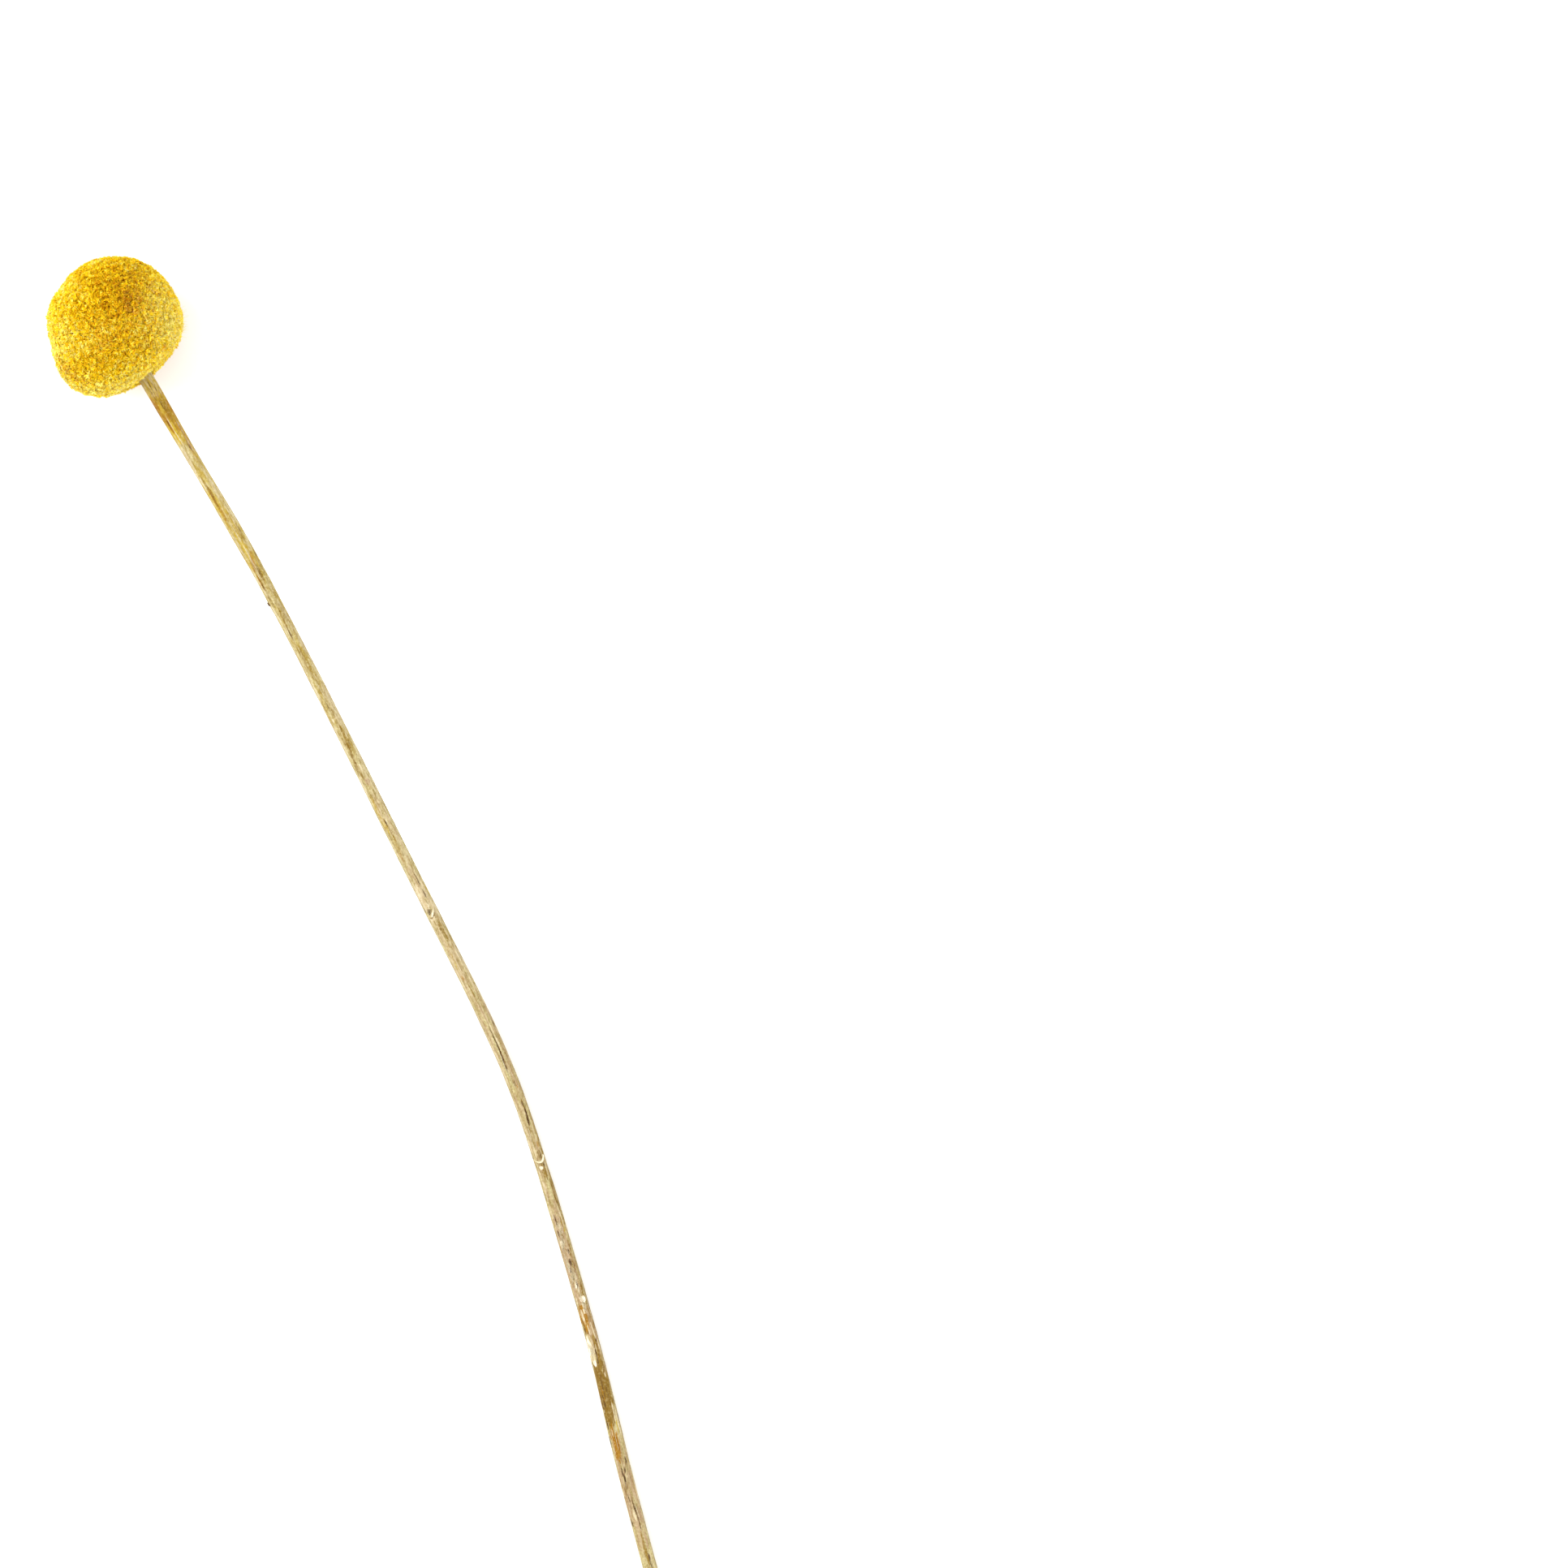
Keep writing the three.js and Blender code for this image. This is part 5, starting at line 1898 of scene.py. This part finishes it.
    def lip(self) -> Mesh:
        """Models the strand that splinters and curled rims are bent from, thickest in its middle."""
        rings = 18
        outline = [(ring / rings, 0.5 + 0.5 * math.sin(math.pi * ring / rings)) for ring in range(rings)]
        return strand_mesh("lip", 7, outline)

    def husks(self, draw: Draw) -> Mesh:
        """Models what is left of the leaves: torn flakes and splinters."""
        shape = blank("reach")
        for flake in self.flakes:
            self.add_flake(shape, flake, draw)
        lip, width = self.lip(), 0.3
        for splinter in self.splinters:
            self.curl(shape, lip, splinter, width)
        return self.route.laid(finished(shape, "husks"))

    def dark_bits(self) -> Mesh:
        """Models the small dark bud at the stem's -Y side and the dark splinters of the lowest scar."""
        shape, rings = blank("reach"), 12
        widths = [math.sin(math.pi * (0.1 + 0.9 * ring / rings)) ** 0.6 for ring in range(rings)]
        strand = strand_mesh("bud", 8, [(ring / rings, width) for ring, width in enumerate(widths)])
        bud_width = 0.5
        for course, width in ((self.bud, bud_width), *self.dark_splinters):
            self.curl(shape, strand, course, width)
        return self.route.laid(finished(shape, "bud"))

    def fibres(self, draw: Draw) -> Mesh:
        """Models the curled rims of two scars, loose fibres on all sides, and wool below the bend."""
        rim_width, loose_widths, wool_widths, rings = 0.42, (0.05, 0.09), (0.05, 0.08), 9
        shape, lip = blank("reach"), self.lip()
        for rim in self.rims:
            self.curl(shape, lip, rim, rim_width)
        outline = [(ring / rings, 1.0 - 0.5 * ring / rings) for ring in range(rings)]
        strand = strand_mesh("fibre", 3, outline)
        for _ in range(self.loose):
            self.curl(shape, strand, self.loose_course(draw), draw.uniform(*loose_widths))
        for _ in range(self.woolly):
            self.curl(shape, strand, self.wool_course(draw), draw.uniform(*wool_widths))
        mesh, table_gap = self.route.laid(finished(shape, "fibres")), 0.02 * MM
        spots = places(mesh)
        spots[:, 2] = np.maximum(spots[:, 2], table_gap)
        put(mesh, spots)
        return mesh

    def loose_course(self, draw: Draw) -> Course:
        """Draws where a loose fibre runs: its root lies in the skin and its tip stands off."""
        first, last = 17.0, self.route.length() / MM - 8.0
        at, side = draw.uniform(first, last), draw.uniform(0.0, 360.0)
        long, swing = draw.uniform(2.0, 8.0), draw.uniform(-14.0, 14.0)
        lifts = (-0.02, draw.uniform(0.02, 0.1), draw.uniform(0.02, 0.22))
        shares = (0.0, 0.5, 1.0)
        return [(at + long * share, side + swing * share, lift) for share, lift in zip(shares, lifts)]

    def wool_course(self, draw: Draw) -> Course:
        """Draws where a fibre of the wool runs: a few short steps down the stem, each to its own side."""
        knots, highest, steps, spread, swing = 4, 0.16, (0.1, 0.7), 1.3, 11.0
        middle = draw.choice(self.wool_spots)
        at, side = middle[0] + draw.gauss(0.0, spread), middle[1] + draw.gauss(0.0, swing)
        course = []
        for _ in range(knots):
            course.append((at, side, draw.uniform(0.0, highest)))
            at += draw.uniform(*steps)
            side += draw.uniform(-swing, swing)
        return course

    def build(self) -> None:
        """Builds and dresses every piece of the stem."""
        draw = Draw(self.seed)
        bark = HuskFinish("dark_bud", 0.6, root="#33200E", edge="#432C14")
        wool = HuskFinish("stem_fibre", 0.7, root="#BEB38C", edge="#E4DCC2")
        piece("stem_skin", self.skin(), StrawFinish("straw_skin", 0.5, 0.15), STEM_NODE)
        piece("pith", self.pith(), PithFinish("pith", 0.85), STEM_NODE)
        piece("leaf_husks", self.husks(draw), HuskFinish("leaf_husk", 0.7), STEM_NODE)
        piece("dark_bud", self.dark_bits(), bark, STEM_NODE)
        piece("stem_fibres", self.fibres(draw), wool, STEM_NODE)


# ---- studio ----


@dataclass(frozen=True)
class Studio:
    """The table, the light and the camera that looks straight down.

    Attributes:
        head: the middle of the flower head.
        turn: degrees that the picture is turned round the view.
        lens: the camera's focal length, in millimetres.
        film: the width of its sensor, in millimetres.
        pixels: the picture's width.
        pixel: the width of table that one pixel shows.
        head_pixel: where the middle of the head lies in the picture, from its left and its top.
        table_reach: how far the table reaches from its middle.
        daylight: how bright the even light from all round is.
    """

    head: Triple
    turn: float = 70.2
    lens: float = 150.0
    film: float = 36.0
    pixels: int = 1932
    pixel: float = 0.165 * MM
    head_pixel: Pair = (143.0, 402.0)
    table_reach: float = 4.0
    daylight: float = 1.15

    def axes(self) -> tuple[Vector, Vector]:
        """Returns the picture's directions to the right and up, on the table."""
        angle = math.radians(self.turn)
        right, up = math.cos(angle), math.sin(angle)
        return Vector((right, up, 0.0)), Vector((-up, right, 0.0))

    def camera(self) -> None:
        """Hangs the camera over the table, so that the head lies where it should in the picture."""
        right, up = self.axes()
        across = (self.pixels / 2 - self.head_pixel[0]) * self.pixel
        down = (self.pixels / 2 - self.head_pixel[1]) * self.pixel
        made = bpy.data.cameras.new("camera")
        made.lens = self.lens
        made.sensor_width = self.film
        made.clip_start, made.clip_end = 0.01, 20.0
        height = self.pixels * self.pixel * self.lens / self.film
        camera = bpy.data.objects.new("camera", made)
        camera.location = Vector(self.head) + right * across - up * down + UP * height
        camera.rotation_euler = (0.0, 0.0, math.radians(self.turn))
        bpy.context.collection.objects.link(camera)
        bpy.context.scene.camera = camera

    def table(self) -> None:
        """Lays the pale table under the part."""
        shape = bmesh.new()
        bmesh.ops.create_grid(shape, x_segments=1, y_segments=1, size=self.table_reach)
        mesh = finished(shape, "table", smooth=False)
        mesh.materials.append(PaperFinish("paper", 0.9).material())
        table = bpy.data.objects.new("table", mesh)
        bpy.context.collection.objects.link(table)

    def lamp(
        self, name: str, to_right: float, to_top: float, height: float, size: float, watts: float
    ) -> None:
        """Hangs a soft lamp that faces the part.

        Args:
            name: its name.
            to_right: how far to the right of the picture's middle it hangs.
            to_top: how far towards the picture's top.
            height: its height over the table.
            size: the side of its square.
            watts: its power.
        """
        right, up = self.axes()
        made = bpy.data.lights.new(name, "AREA")
        made.size = size
        made.energy = watts
        lamp = bpy.data.objects.new(name, made)
        place = right * to_right + up * to_top + UP * height
        lamp.location = place
        lamp.rotation_euler = (-place).to_track_quat("-Z", "Y").to_euler()
        lamp.visible_camera = False
        bpy.context.collection.objects.link(lamp)

    def build(self) -> None:
        """Sets up the table, the light and the camera."""
        world = bpy.data.worlds.new("studio")
        world.use_nodes = True
        background = world.node_tree.nodes["Background"]
        background.inputs["Color"].default_value = (1.0, 1.0, 1.0, 1.0)
        background.inputs["Strength"].default_value = self.daylight
        bpy.context.scene.world = world
        bpy.context.scene.view_settings.view_transform = "Standard"
        self.table()
        self.lamp("key_light", to_right=-1.3, to_top=0.5, height=1.3, size=1.3, watts=31.0)
        self.lamp("fill_light", to_right=1.3, to_top=-0.6, height=1.2, size=1.4, watts=17.0)
        self.camera()


def main() -> None:
    """Builds the head, the stem and the studio."""
    logging.basicConfig(level=logging.INFO, format="%(message)s")
    route = StemRoute(HEAD_MIDDLE)
    FlowerHead(route, HEAD_MIDDLE).build()
    Stem(route).build()
    Studio(HEAD_MIDDLE).build()


if __name__ == "__main__":
    main()
